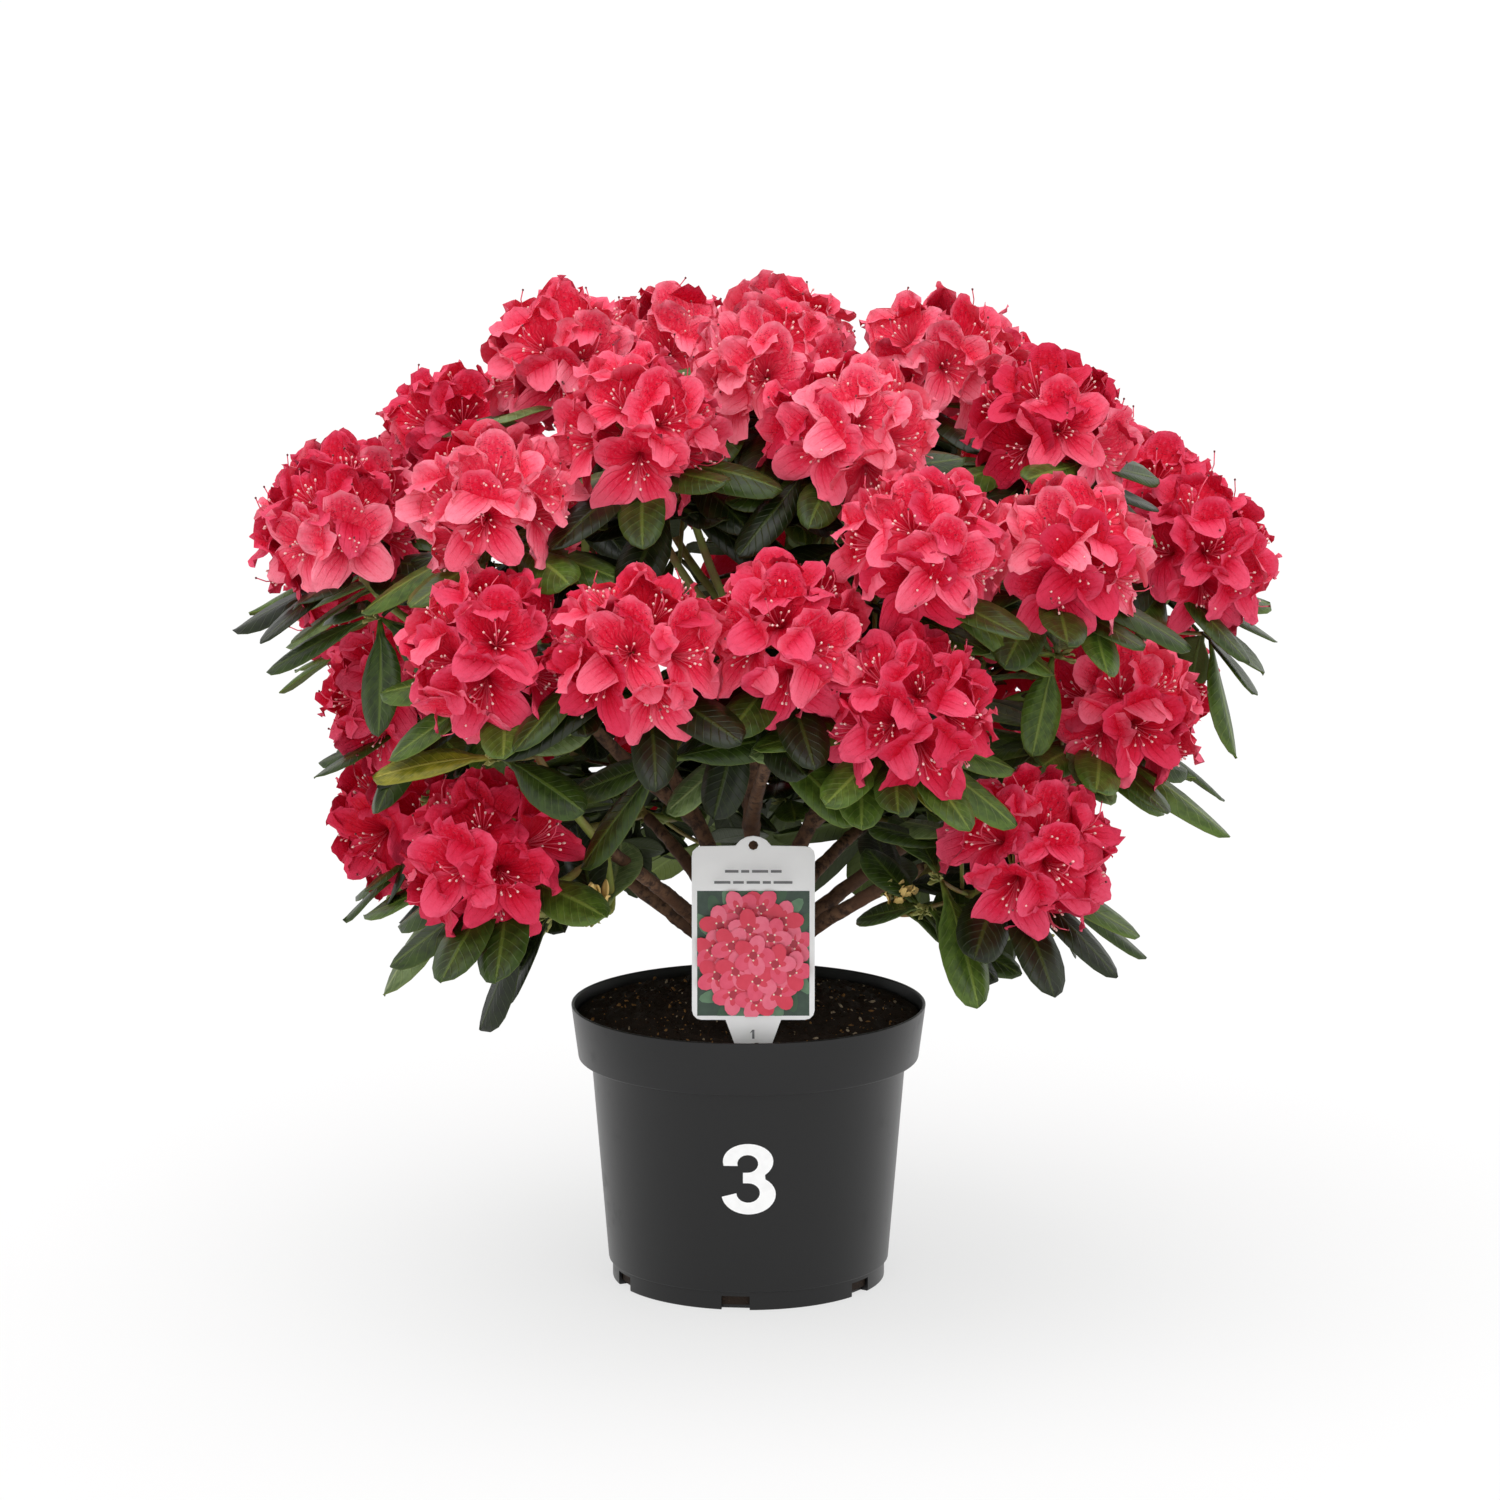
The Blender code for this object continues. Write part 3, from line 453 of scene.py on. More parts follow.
label_place = Matrix.Translation(LABEL_PLACE) @ Matrix.Rotation(-LABEL_LEAN, 4, "X")
waxy_white = two_toned("label_plastic", (244, 244, 245), (251, 251, 251), 90, 3, Roughness=0.38)
waxy_white.set("Specular IOR Level", 0.45)
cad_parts["plant_label"].data.materials.clear()
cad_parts["plant_label"].data.materials.append(waxy_white.material)


def oblong(half_width, low, high, middle=0.0):
    """Outline of an upright oblong, from its foot's height to its top's."""
    left, right = middle - half_width, middle + half_width
    return [(right, low), (right, high), (left, high), (left, low)]


def disc(centre, half_length, half_width, angle=0, steps=12):
    """Outline of a flat oval turned by an angle in degrees."""
    turn = Matrix.Rotation(radians(angle), 2)
    points = oval((0, 0), half_length, half_width, 0, 360, steps)[:-1]
    return [centre + turn @ Vector(point) for point in points]


def picture_shapes():
    """The picture, back to front: a dark field, leaves, and rings of blossoms that crowd out to its edges."""
    yield oblong(PICTURE_WIDTH, 0, PICTURE_TOP), SHADE
    rng = random.Random(SEED)
    middle = Vector((0, (PICTURE_FOOT + PICTURE_TOP) / 2))
    for i in range(POSY_LEAVES):
        angle = 360 * (i + 0.5) / POSY_LEAVES
        out = Vector(oval((0, 0), POSY_HALF_WIDTH + 0.0060, POSY_HALF_HEIGHT + 0.0070, angle, angle, 1)[0])
        yield disc(middle + out, 0.0092, 0.0036, angle + rng.uniform(-40, 40)), LEAF + i % 2
    for count, share, start in POSY_RINGS:
        for i in range(count):
            angle = start + 360 * i / count
            across, up = POSY_HALF_WIDTH * share, POSY_HALF_HEIGHT * share
            centre = middle + Vector(oval((0, 0), across, up, angle, angle, 1)[0])
            for petal in range(5):
                around = angle * 1.7 + 72 * petal
                way = Matrix.Rotation(radians(around), 2) @ Vector((BLOSSOM_SIZE, 0))
                tone = ROSE + (petal + i) % 3
                yield disc(centre + way * 0.52, BLOSSOM_SIZE * 0.52, BLOSSOM_SIZE * 0.40, around), tone
                yield disc(centre + way * 0.30, BLOSSOM_SIZE * 0.26, BLOSSOM_SIZE * 0.15, around, 8), CORAL
            yield disc(centre, BLOSSOM_SIZE * 0.20, BLOSSOM_SIZE * 0.20), CRIMSON
            for dot in range(4):
                out = Matrix.Rotation(radians(angle + 90 * dot), 2) @ Vector((BLOSSOM_SIZE * 0.24, 0))
                yield disc(centre + out, BLOSSOM_SIZE * 0.05, BLOSSOM_SIZE * 0.05, 0, 6), CREAM


def printed_shapes():
    """What is printed, back to front: outlines on the label's face, each with its ink."""
    for outline, ink in picture_shapes():
        cut = np.clip(outline, (-PICTURE_WIDTH / 2, PICTURE_FOOT), (PICTURE_WIDTH / 2, PICTURE_TOP))
        if np.ptp(cut, axis=0).min() > LEAST_PRINT:
            yield cut, ink
    for height, lengths in DASH_ROWS:
        left = -(sum(lengths) + len(lengths) - 1) / 2
        for length in lengths:
            middle = (left + length / 2) * DASH_UNIT
            yield oblong(length * DASH_UNIT / 2, height, height + DASH_HEIGHT, middle), GREY
            left += length + 1
    foot, top = STAKE_FIGURE_FOOT, STAKE_FIGURE_TOP
    flag = [(-3 * STROKE, top - 3 * STROKE), (-STROKE, top - 2 * STROKE)]
    yield [(-STROKE, foot), (STROKE, foot), (STROKE, top), (-STROKE, top), *flag], GREY


printing = bmesh.new()
for layer, (outline, ink) in enumerate(printed_shapes()):
    front = -LABEL_THICK / 2 - INK_LAYER * (layer + 2)
    face = printing.faces.new([printing.verts.new(label_place @ Vector((x, front, z))) for x, z in outline])
    face.material_index = ink
    face.normal_update()
    if face.normal.y > 0:
        face.normal_flip()
print_mesh = mesh_of("label_print", printing)
print_mesh.set_sharp_from_angle(angle=radians(30))
add_piece("label_print", print_mesh, [two_toned(*ink, 260, Roughness=0.35) for ink in INKS])


# The trunk and boughs
# A short trunk that flares into the compost, and brown boughs that fan out from it, thick as a pencil at the
# fork. The bark is lumpy with old leaf scars and finely wrinkled along the limb.
TRUNK_HEIGHT, TRUNK_LEAN = 0.040, 0.003
TRUNK_FLARE_RADIUS, TRUNK_TOP_RADIUS = 0.0205, 0.0128
TRUNK_STATIONS = ((0, 1.0), (0.10, 0.72), (0.30, 0.34), (0.62, 0.12), (1.0, 0))
TRUNK_RINGS, TRUNK_SIDES, TRUNK_SUNK = 44, 56, 0.004
CROWN_REACH, CROWN_WAIST, CROWN_RISE, CROWN_DROP = 0.240, 0.375, 0.130, 0.270
CROWN_HEART = Vector((0, 0, 0.255))
HEAD_LIFT, SHOOT_UPRIGHT = 0.16, 0.80
HEAD_RADIUS = 0.0455
# Places on the dome: the angle from its top, the share of its reach, and the bearings
TIERS = (
    (20, 1.00, (9,)), (26, 0.93, (98, -101)), (31, 0.72, (-150,)), (34, 1.00, (172,)),
    (39, 1.00, (-21, 20)), (45, 1.00, (66, 134)), (48, 1.00, (-159,)), (58, 0.87, (-119,)),
    (59, 1.00, (-38, 176)), (66, 1.00, (23,)), (71, 1.00, (44, -67, 127, 152)), (74, 0.93, (100,)),
    (75, 0.96, (-104, -137, -164)), (79, 1.00, (78,)), (86, 0.90, (5,)), (87, 1.00, (-13,)),
    (90, 1.00, (-32,)), (95, 1.00, (19, -119, 176)), (100, 0.92, (60, 140, -150)), (101, 0.78, (-86,)),
    (103, 0.92, (106,)), (113, 1.00, (39, -36)), (117, 0.96, (-132, 134, 165, -170)), (118, 0.86, (-97,)),
)
SHOOTS = ((119, 0.80, (-29, 29, 76, 112, 148, -162, -112, -72)),)
# Each bough: its parent, where it forks from it, and the bearing and angle it aims for
BOUGHS = {
    "crown_front": ("trunk", 0.86, -4, 32),
    "crown_right": ("trunk", 0.86, 96, 42),
    "crown_back": ("trunk", 0.86, 178, 44),
    "crown_left": ("trunk", 0.86, -108, 42),
    "low_front_left": ("trunk", 0.50, -40, 108),
    "low_front_right": ("trunk", 0.38, 42, 106),
    "low_left": ("trunk", 0.38, -100, 110),
    "low_right": ("trunk", 0.50, 112, 100),
    "low_back_left": ("trunk", 0.50, -152, 110),
    "low_back_right": ("trunk", 0.38, 155, 110),
    "front": ("crown_front", 0.4, 5, 84),
    "shoulder_right": ("crown_right", 0.4, 72, 74),
    "shoulder_left": ("crown_left", 0.4, -64, 68),
    "back": ("crown_back", 0.4, 166, 74),
    "back_left": ("crown_left", 0.6, -142, 78),
    "back_right": ("crown_right", 0.6, 132, 78),
}
FIRST_BOUGH_RADII, SECOND_BOUGH_RADII = (0.0047, 0.0032), (0.0038, 0.0028)
BOUGH_STEPS, BOUGH_SHARE, BOUGH_BEND, LOW_FORK = 5, 0.56, 0.5, 0.60
LOW_STEEPNESS, HIGH_STEEPNESS = radians(38), radians(74)
LOW_START, HIGH_START = 0.002, 0.0068
BARK_RING, BARK_SIDES, SCAR_SPACING = 0.0022, 14, 0.011
UP = Vector((0, 0, 1))


def level_direction(bearing):
    """Level direction of a bearing in degrees: 0 is the front, positive to the right."""
    angle = radians(bearing)
    return Vector((sin(angle), -cos(angle), 0))


def on_dome(bearing, polar, share=1.0):
    """A place on the crown's dome."""
    angle = radians(polar)
    depth = CROWN_RISE if polar < 90 else CROWN_DROP
    out = level_direction(bearing) * share * CROWN_REACH * sin(angle)
    return out + Vector((0, 0, CROWN_WAIST + depth * cos(angle)))


def bezier(a, b, c, steps):
    """Points along the curve from a to c that bends towards b."""
    shares = [i / steps for i in range(steps + 1)]
    return [a * (1 - t) ** 2 + b * 2 * t * (1 - t) + c * t ** 2 for t in shares]


class Head:
    """A place on the dome where a twig ends, in a head of flowers or in a leafy bud."""

    def __init__(self, number, centre, in_flower):
        self.number, self.centre, self.in_flower = number, centre, in_flower
        self.facing = ((centre - CROWN_HEART).normalized() + UP * HEAD_LIFT).normalized()
        self.axis = (self.facing + UP * SHOOT_UPRIGHT).normalized()


# Each head goes to the bough whose aim on the dome is nearest
sprays = {name: [] for name in BOUGHS}
everyone = []
for tiers, in_flower in ((TIERS, True), (SHOOTS, False)):
    for polar, share, bearings in tiers:
        for bearing in bearings:
            head = Head(len(everyone), on_dome(bearing, polar, share), in_flower)
            aims = {name: (on_dome(*aim) - head.centre).length for name, (_, _, *aim) in BOUGHS.items()}
            sprays[min(aims, key=aims.get)].append(head)
            everyone.append(head)
in_bloom = [head for head in everyone if head.in_flower]
in_bud = [head for head in everyone if not head.in_flower]

trunk_foot = mound_level + CLEAR
trunk_points = [Vector((TRUNK_LEAN * up ** 2, 0, trunk_foot + TRUNK_HEIGHT * up)) for up, _ in TRUNK_STATIONS]
bough_curves, bough_points, bough_radii = {}, {}, {}
for name, (parent, fork, bearing, _) in BOUGHS.items():
    places = [head.centre for head in sprays[name] if head.in_flower]
    middle = sum(places, Vector()) / len(places)
    level = level_direction(bearing)
    if parent == "trunk":
        low = fork < LOW_FORK
        start = trunk_points[0].lerp(trunk_points[-1], fork) + level * (LOW_START if low else HIGH_START)
        steep = LOW_STEEPNESS if low else HIGH_STEEPNESS
        lead = level * cos(steep) + UP * sin(steep)
    else:
        start = bough_points[parent][round(fork * BOUGH_STEPS)]
        lead = (level * 0.8 + UP * 0.6).normalized()
    end = start.lerp(middle, BOUGH_SHARE)
    bough_curves[name] = start, start + lead * (end - start).length * BOUGH_BEND, end
    bough_points[name] = bezier(*bough_curves[name], BOUGH_STEPS)
    bough_radii[name] = FIRST_BOUGH_RADII if parent == "trunk" else SECOND_BOUGH_RADII


def tube_points(lines, radii, sides):
    """Rings of points round many lines at once: lines are copies by points by 3, radii copies by points."""
    lines = np.asarray(lines, float)
    radii = np.broadcast_to(np.asarray(radii, float), lines.shape[:2])
    ahead = np.gradient(lines, axis=1)
    ahead /= np.linalg.norm(ahead, axis=2, keepdims=True)
    level = np.where(np.abs(ahead[:, 0, 2:]) < 0.9, [[0.0, 0.0, 1.0]], [[1.0, 0.0, 0.0]])
    side = np.cross(ahead[:, 0], level)
    angles = np.arange(sides) * tau / sides
    rings = []
    for i in range(lines.shape[1]):
        way = ahead[:, i]
        side = side - way * (side * way).sum(1, keepdims=True)
        side /= np.linalg.norm(side, axis=1, keepdims=True)
        other = np.cross(way, side)
        ring = np.cos(angles)[:, None] * side[:, None] + np.sin(angles)[:, None] * other[:, None]
        rings.append(lines[:, i, None] + ring * radii[:, i, None, None])
    return np.stack(rings, 1).reshape(len(lines), -1, 3)


def tube_faces(rings, sides):
    """Faces of a tube of rings, with a fan of triangles on each end."""
    i, j = np.meshgrid(np.arange(rings - 1) * sides, np.arange(sides), indexing="ij")
    after = (j + 1) % sides
    walls = np.stack([i + j, i + after, i + sides + after, i + sides + j], -1).reshape(-1, 4)
    fan = np.arange(1, sides - 1)
    foot = np.stack([0 * fan, fan + 1, fan], -1)
    tip = np.stack([0 * fan, fan, fan + 1], -1) + (rings - 1) * sides
    return [walls, np.concatenate([foot, tip])]


def barked(line, radii, sides, rng, wrinkles):
    """A batch of one limb with relief: lumps, rings of old leaf scars and wrinkles that run along it."""
    line = np.array([list(p) for p in line])
    ringed = tube_points([line], [radii], sides)[0].reshape(len(line), sides, 3)
    phase = rng.uniform(0, 50)
    for i, ring in enumerate(ringed):
        run = i * BARK_RING
        scar = max(0.0, cos(tau * run / SCAR_SPACING + phase)) ** 6
        for j in range(sides):
            place = Vector(ring[j])
            angle = tau * j / sides
            lumps = 0.16 * noise.noise(place * 130 + Vector((phase, 0, 0)))
            relief = 1 + lumps + 0.07 * noise.noise(place * 420)
            relief += 0.05 * sin(angle * wrinkles + 3 * noise.noise(Vector((run * 60, phase, 0))))
            relief += 0.10 * scar * sin(angle + phase * run * 9)
            ring[j] = line[i] + (ring[j] - line[i]) * relief
    return tube_faces(len(line), sides), [ringed.reshape(-1, 3)], 0


rng = random.Random(SEED)
shares = np.linspace(0, 1, TRUNK_RINGS)
trunk_rise = TRUNK_HEIGHT + TRUNK_SUNK
trunk_line = [(TRUNK_LEAN * up ** 2, 0, trunk_foot - TRUNK_SUNK + trunk_rise * up) for up in shares]
swell = np.interp(shares, *zip(*TRUNK_STATIONS))
trunk_radii = TRUNK_TOP_RADIUS + (TRUNK_FLARE_RADIUS - TRUNK_TOP_RADIUS) * swell
trunk_radii *= np.sqrt(np.clip((1.02 - shares) / 0.12, 0.05, 1))
limbs = [barked(trunk_line, trunk_radii, TRUNK_SIDES, rng, 9)]
for name, (start, bend, end) in bough_curves.items():
    line = bezier(start, bend, end, round((end - start).length / BARK_RING))
    foot_swell = 1 + 0.35 * np.exp(-np.arange(len(line)) / 4)
    limbs.append(barked(line, np.linspace(*bough_radii[name], len(line)) * foot_swell, BARK_SIDES, rng, 3))

# Grey-brown bark, darker and redder in the wrinkles and paler on the ridges
bark = Finish("brown_bark", Specular_IOR_Level=0.3)
streaks = bark.grain(240, 5, 0.65)
brown = bark.blend(bark.ramp(streaks, 0.35, 0.62), (44, 28, 20), (112, 82, 60))
bark.colour(bark.ramp(bark.grain(38, 3), 0.35, 0.7), brown, (84, 56, 38))
bark.set("Roughness", streaks * 0.25 + 0.62)
bark.bump(streaks, 0.0005)
add_copies("trunk_and_boughs", limbs, [bark], ["trunk"] + ["bough_" + name for name in BOUGHS])


# Young wood
# Each bough ends in green twigs, one to a head, by the rule that the solids follow. Here each twig also
# throws a few side shoots, and swells into a collar where its top leaves spring from.
SPRAY_STEM, TWIG_SUNK, TWIG_RADIUS = 0.008, 0.003, 0.0019
TWIG_STEPS, TWIG_SIDES = 10, 7
HEART_RADIUS = HEAD_RADIUS * 0.23
COLLAR_RADIUS, COLLAR_LENGTH, COLLAR_DROP, TWIG_BEND = 0.0029, 0.009, 0.007, 0.45
SIDE_SHOOTS, EXTRA_SHOOTS = 2, 3
# Heads above the first level and below the second throw extra shoots. Shoots under the third bear few leaves
CROWN_SHOOT_LEVEL, SKIRT_LEVEL, LOW_SHOOT_LEVEL = 0.475, 0.36, 0.235
SHOOT_LENGTH, SHOOT_RADIUS, SHOOT_CLEAR = 0.042, 0.0012, 0.028
SHOOT_STEPS, SHOOT_SIDES, SHOOT_WHORL = 5, 5, 0.006
SIDE_LEAF_SCALE, INNER_LEAF_SCALE, SIDE_BUD_SCALE = 0.84, 0.66, 0.55
LEAVES_UNDER_HEAD, LEAVES_UNDER_BUD, LEAVES_ON_SIDE_SHOOT, LEAVES_ON_LOW_SHOOT = 9, 6, 5, 3
# Kept clear: the room over the compost, the rim as it is seen, and the label's half width, front and top
OPEN_FOOT_RADIUS, OPEN_FOOT_HEIGHT, OPEN_FOOT_SHARE = 0.118, 0.205, 0.955
RIM_IN_SIGHT, RIM_SEEN_AT, VIEW_SLOPE = 0.112, 0.196, 0.23
LABEL_ROOM = (0.047, -0.060, 0.262)

# A place where leaves spring out round a twig
Whorl = namedtuple("Whorl", "head foot facing length leaves scale")


def generator(head, use):
    """Random numbers that are a head's own, one run of them for each use."""
    return random.Random(f"{SEED} {head.number} {use}")


def in_the_way(place, rng):
    """Whether a leaf or a shoot there would hide the label, the pot's rim or the compost from the front."""
    side, front, height = LABEL_ROOM
    seen_at = place.z + (place.y - LABEL_PLACE.y) * VIEW_SLOPE
    if abs(place.x - LABEL_PLACE.x) < side and place.y < front and seen_at < height:
        return True
    if abs(place.x) < RIM_IN_SIGHT and seen_at < RIM_SEEN_AT and rng.random() < OPEN_FOOT_SHARE:
        return True
    low = place.xy.length < OPEN_FOOT_RADIUS and place.z < OPEN_FOOT_HEIGHT
    return low and rng.random() < OPEN_FOOT_SHARE


twig_lines, twig_radii, shoot_lines = [], [], []
whorls, bud_places = [], []
for name, heads in sprays.items():
    points = bough_points[name]
    way = (points[-1] - points[-2]).normalized()
    fork = points[-1] + way * (CLEAR + SPRAY_STEM)
    twig_lines.append(bezier(points[-1] - way * TWIG_SUNK, points[-1], fork + way * TWIG_SUNK, TWIG_STEPS))
    twig_radii.append(np.linspace(bough_radii[name][1], TWIG_RADIUS, TWIG_STEPS + 1))
    for head in heads:
        rng = generator(head, "twig")
        collar = head.centre - head.axis * (HEART_RADIUS + COLLAR_LENGTH + COLLAR_DROP)
        top = collar + head.axis * COLLAR_LENGTH
        bend = collar - head.axis * (collar - fork).length * TWIG_BEND
        line = bezier(fork - way * TWIG_SUNK, bend, top, TWIG_STEPS)
        twig_lines.append(line)
        narrow = np.linspace(TWIG_RADIUS * 1.3, TWIG_RADIUS, TWIG_STEPS + 1)
        narrow[-2:] = COLLAR_RADIUS * 0.9, COLLAR_RADIUS * 0.7
        twig_radii.append(narrow)
        leaves = LEAVES_UNDER_HEAD if head.in_flower else LEAVES_UNDER_BUD
        whorls.append(Whorl(head, collar, head.axis, COLLAR_LENGTH, leaves, 1.0))
        if not head.in_flower:
            bud_places.append((head, top, head.axis, 1.0))
        crown, skirt = head.centre.z > CROWN_SHOOT_LEVEL, head.centre.z < SKIRT_LEVEL
        for i in range(SIDE_SHOOTS + (EXTRA_SHOOTS if crown or skirt else 0)):
            inner = i >= SIDE_SHOOTS and skirt
            step = round(TWIG_STEPS * (rng.uniform(0.10, 0.50) if inner else rng.uniform(0.42, 0.80)))
            root = line[step]
            along = (line[step] - line[step - 1]).normalized()
            out = Quaternion(along, rng.uniform(0, tau)) @ along.orthogonal().normalized()
            if i >= SIDE_SHOOTS and crown:
                out = (Vector((-root.x, -root.y, 0.04)) + 0.03 * out).normalized()
            reach = SHOOT_LENGTH * rng.uniform(0.6, 1.1)
            tip = root + (along * 0.9 + out * 1.0).normalized() * reach + Vector((0, 0, 0.15 * reach))
            facing = (tip - root).normalized()
            if in_the_way(tip, rng) or in_the_way(tip + facing * SHOOT_CLEAR, rng):
                continue
            shoot_lines.append(bezier(root, root + along * reach * 0.3 + out * reach * 0.3, tip, SHOOT_STEPS))
            leaves = LEAVES_ON_SIDE_SHOOT if tip.z > LOW_SHOOT_LEVEL or inner else LEAVES_ON_LOW_SHOOT
            scale = INNER_LEAF_SCALE if inner else SIDE_LEAF_SCALE
            whorls.append(Whorl(head, tip - facing * SHOOT_WHORL, facing, SHOOT_WHORL, leaves, scale))
            bud_places.append((head, tip, facing, SIDE_BUD_SCALE))

# Smooth yellow-green bark, browner in patches
green_wood = Finish("young_wood", Specular_IOR_Level=0.4, Roughness=0.55)
green_wood.colour(green_wood.ramp(green_wood.grain(45, 3), 0.38, 0.66), (124, 134, 58), (132, 104, 58))
green_wood.bump(green_wood.grain(900, 3), 0.0003)
twig_batches = [
    (tube_faces(TWIG_STEPS + 1, TWIG_SIDES), tube_points(twig_lines, twig_radii, TWIG_SIDES), 0),
    (tube_faces(SHOOT_STEPS + 1, SHOOT_SIDES), tube_points(shoot_lines, SHOOT_RADIUS, SHOOT_SIDES), 0),
]
add_copies("twigs", twig_batches, [green_wood])


# Leaves
# Leathery evergreen leaves in whorls under the heads and on the side shoots: dark green above with a pale
# midrib, duller and paler below, on short stalks. They droop, and their margins roll down a little.
LEAF_LENGTH, LEAF_WIDTH, LEAF_THICK = 0.066, 0.023, 0.0005
STALK_SHARE, STALK_RADIUS, LEAF_BROADEST = 0.13, 0.0010, 0.55
LEAF_COLUMNS, LEAF_ROWS = 4, 8
LEAST_DROOP, MOST_DROOP, LEAST_RISE, MOST_RISE, LEAN_TO_HEAD = 0.02, 0.30, -0.24, 0.20, 0.20
OFF_TWIG, UP_BY_FACING, UP_BY_OUTSIDE, LEAST_TURN = 0.0015, 0.3, 0.5, 0.2
WHORL_UPRIGHT, TRIES_PER_LEAF = 0.95, 10
FLOWER_ROOM, FACE_ROOM, BUD_ROOM = 0.043, 0.036, 0.030
LOWEST_LEAF, LEAF_REACH, OUTER_RADIUS = 0.170, 0.281, 0.180
# Each kind's dark and light tones, its rib and its underside, and how often it falls outside and inside. The
# inside leaves mostly take the deepest kind, a painted shade, and only outside leaves take the grey kind, a
# painted sheen
LEAF_KINDS = {
    "leaf_deep_painted_shade": ((11, 18, 3), (25, 36, 7), (54, 66, 22), (44, 54, 16), 18, 76),
    "leaf_dark": ((30, 44, 10), (52, 72, 19), (84, 102, 38), (72, 86, 30), 42, 18),
    "leaf_green": ((50, 70, 18), (80, 104, 34), (114, 132, 56), (96, 112, 42), 24, 4),
    "leaf_grey_painted_sheen": ((72, 90, 46), (110, 128, 78), (138, 150, 94), (112, 126, 64), 13, 0),
    "leaf_olive": ((92, 94, 16), (138, 132, 38), (166, 156, 70), (126, 128, 46), 3, 2),
}
*_, LIT_OUTER_LEAF_SHARES, SHADED_INNER_LEAF_SHARES = zip(*LEAF_KINDS.values())
# How often a leaf or a petal has the tint that rules where it grows
SAME_TINT = 0.6

leaf_bm = bmesh.new()
bmesh.ops.create_grid(leaf_bm, x_segments=LEAF_COLUMNS, y_segments=LEAF_ROWS, size=1)
bmesh.ops.solidify(leaf_bm, geom=leaf_bm.faces[:], thickness=1)
bmesh.ops.recalc_face_normals(leaf_bm, faces=leaf_bm.faces)
leaf_pattern, leaf_faces = pattern_of(leaf_bm)
leaf_across = leaf_pattern[:, 0]
leaf_share = 1 - (0.5 - leaf_pattern[:, 1] * 0.5) ** 1.5
leaf_over = leaf_pattern[:, 2] > leaf_pattern[:, 2].mean()
# The upper side lies in the left half of the UV square and the underside in the right half
leaf_uvs = []
for faces in leaf_faces:
    halves = np.where(leaf_over[faces].all(1)[:, None], 0.25, 0.75)
    leaf_uvs.append(np.stack([halves + 0.23 * leaf_across[faces], leaf_share[faces]], -1))


def leaf_points(root, way, up, length, width, droop, rng):
    """The points of one leaf: its stalk, then a blade that bends down under its own weight."""
    side = np.array(up.cross(way).normalized())
    way, root = np.array(way), np.array(root)
    run = leaf_share * length
    line = root + way * run[:, None]
    line[:, 2] -= droop * run ** 2 / length
    ahead = way - np.array([[0, 0, 2 * droop]]) * leaf_share[:, None]
    ahead /= np.linalg.norm(ahead, axis=1, keepdims=True)
    face = np.cross(ahead, side)
    blade = np.clip((leaf_share - STALK_SHARE) / (1 - STALK_SHARE), 0, 1)
    foot_side = 1 - np.clip(1 - blade / LEAF_BROADEST, 0, 1) ** 2
    tip_side = np.clip(1 - np.clip((blade - LEAF_BROADEST) / (1 - LEAF_BROADEST), 0, 1) ** 2.4, 0, 1) ** 0.56
    broad = foot_side ** 0.9 * tip_side * width / 2
    across = leaf_across * np.maximum(broad, STALK_RADIUS * np.where(blade < 0.5, 1, 0.5))
    fold, roll = rng.uniform(0.02, 0.20), rng.uniform(0.1, 0.5)
    lift = fold * np.abs(across) - roll * np.abs(leaf_across) ** 3 * broad
    wave = sin(rng.uniform(0, tau)) * 0.0012
    lift += wave * leaf_across * np.sin(blade * tau * 1.3 + rng.uniform(0, tau)) * blade
    lift -= 0.0005 * np.exp(-(leaf_across / 0.3) ** 2) * np.sin(pi * blade)
    stalk = np.clip(1 - blade / 0.14, 0, 1)
    thick = LEAF_THICK + (2 * STALK_RADIUS - LEAF_THICK) * stalk
    lift += np.where(leaf_over, 0.5, -0.5) * thick * (1 - 0.6 * stalk * leaf_across ** 2)
    sweep = rng.uniform(-0.06, 0.06) * blade ** 2 * length
    return line + side * (across + sweep)[:, None] + face * lift[:, None]


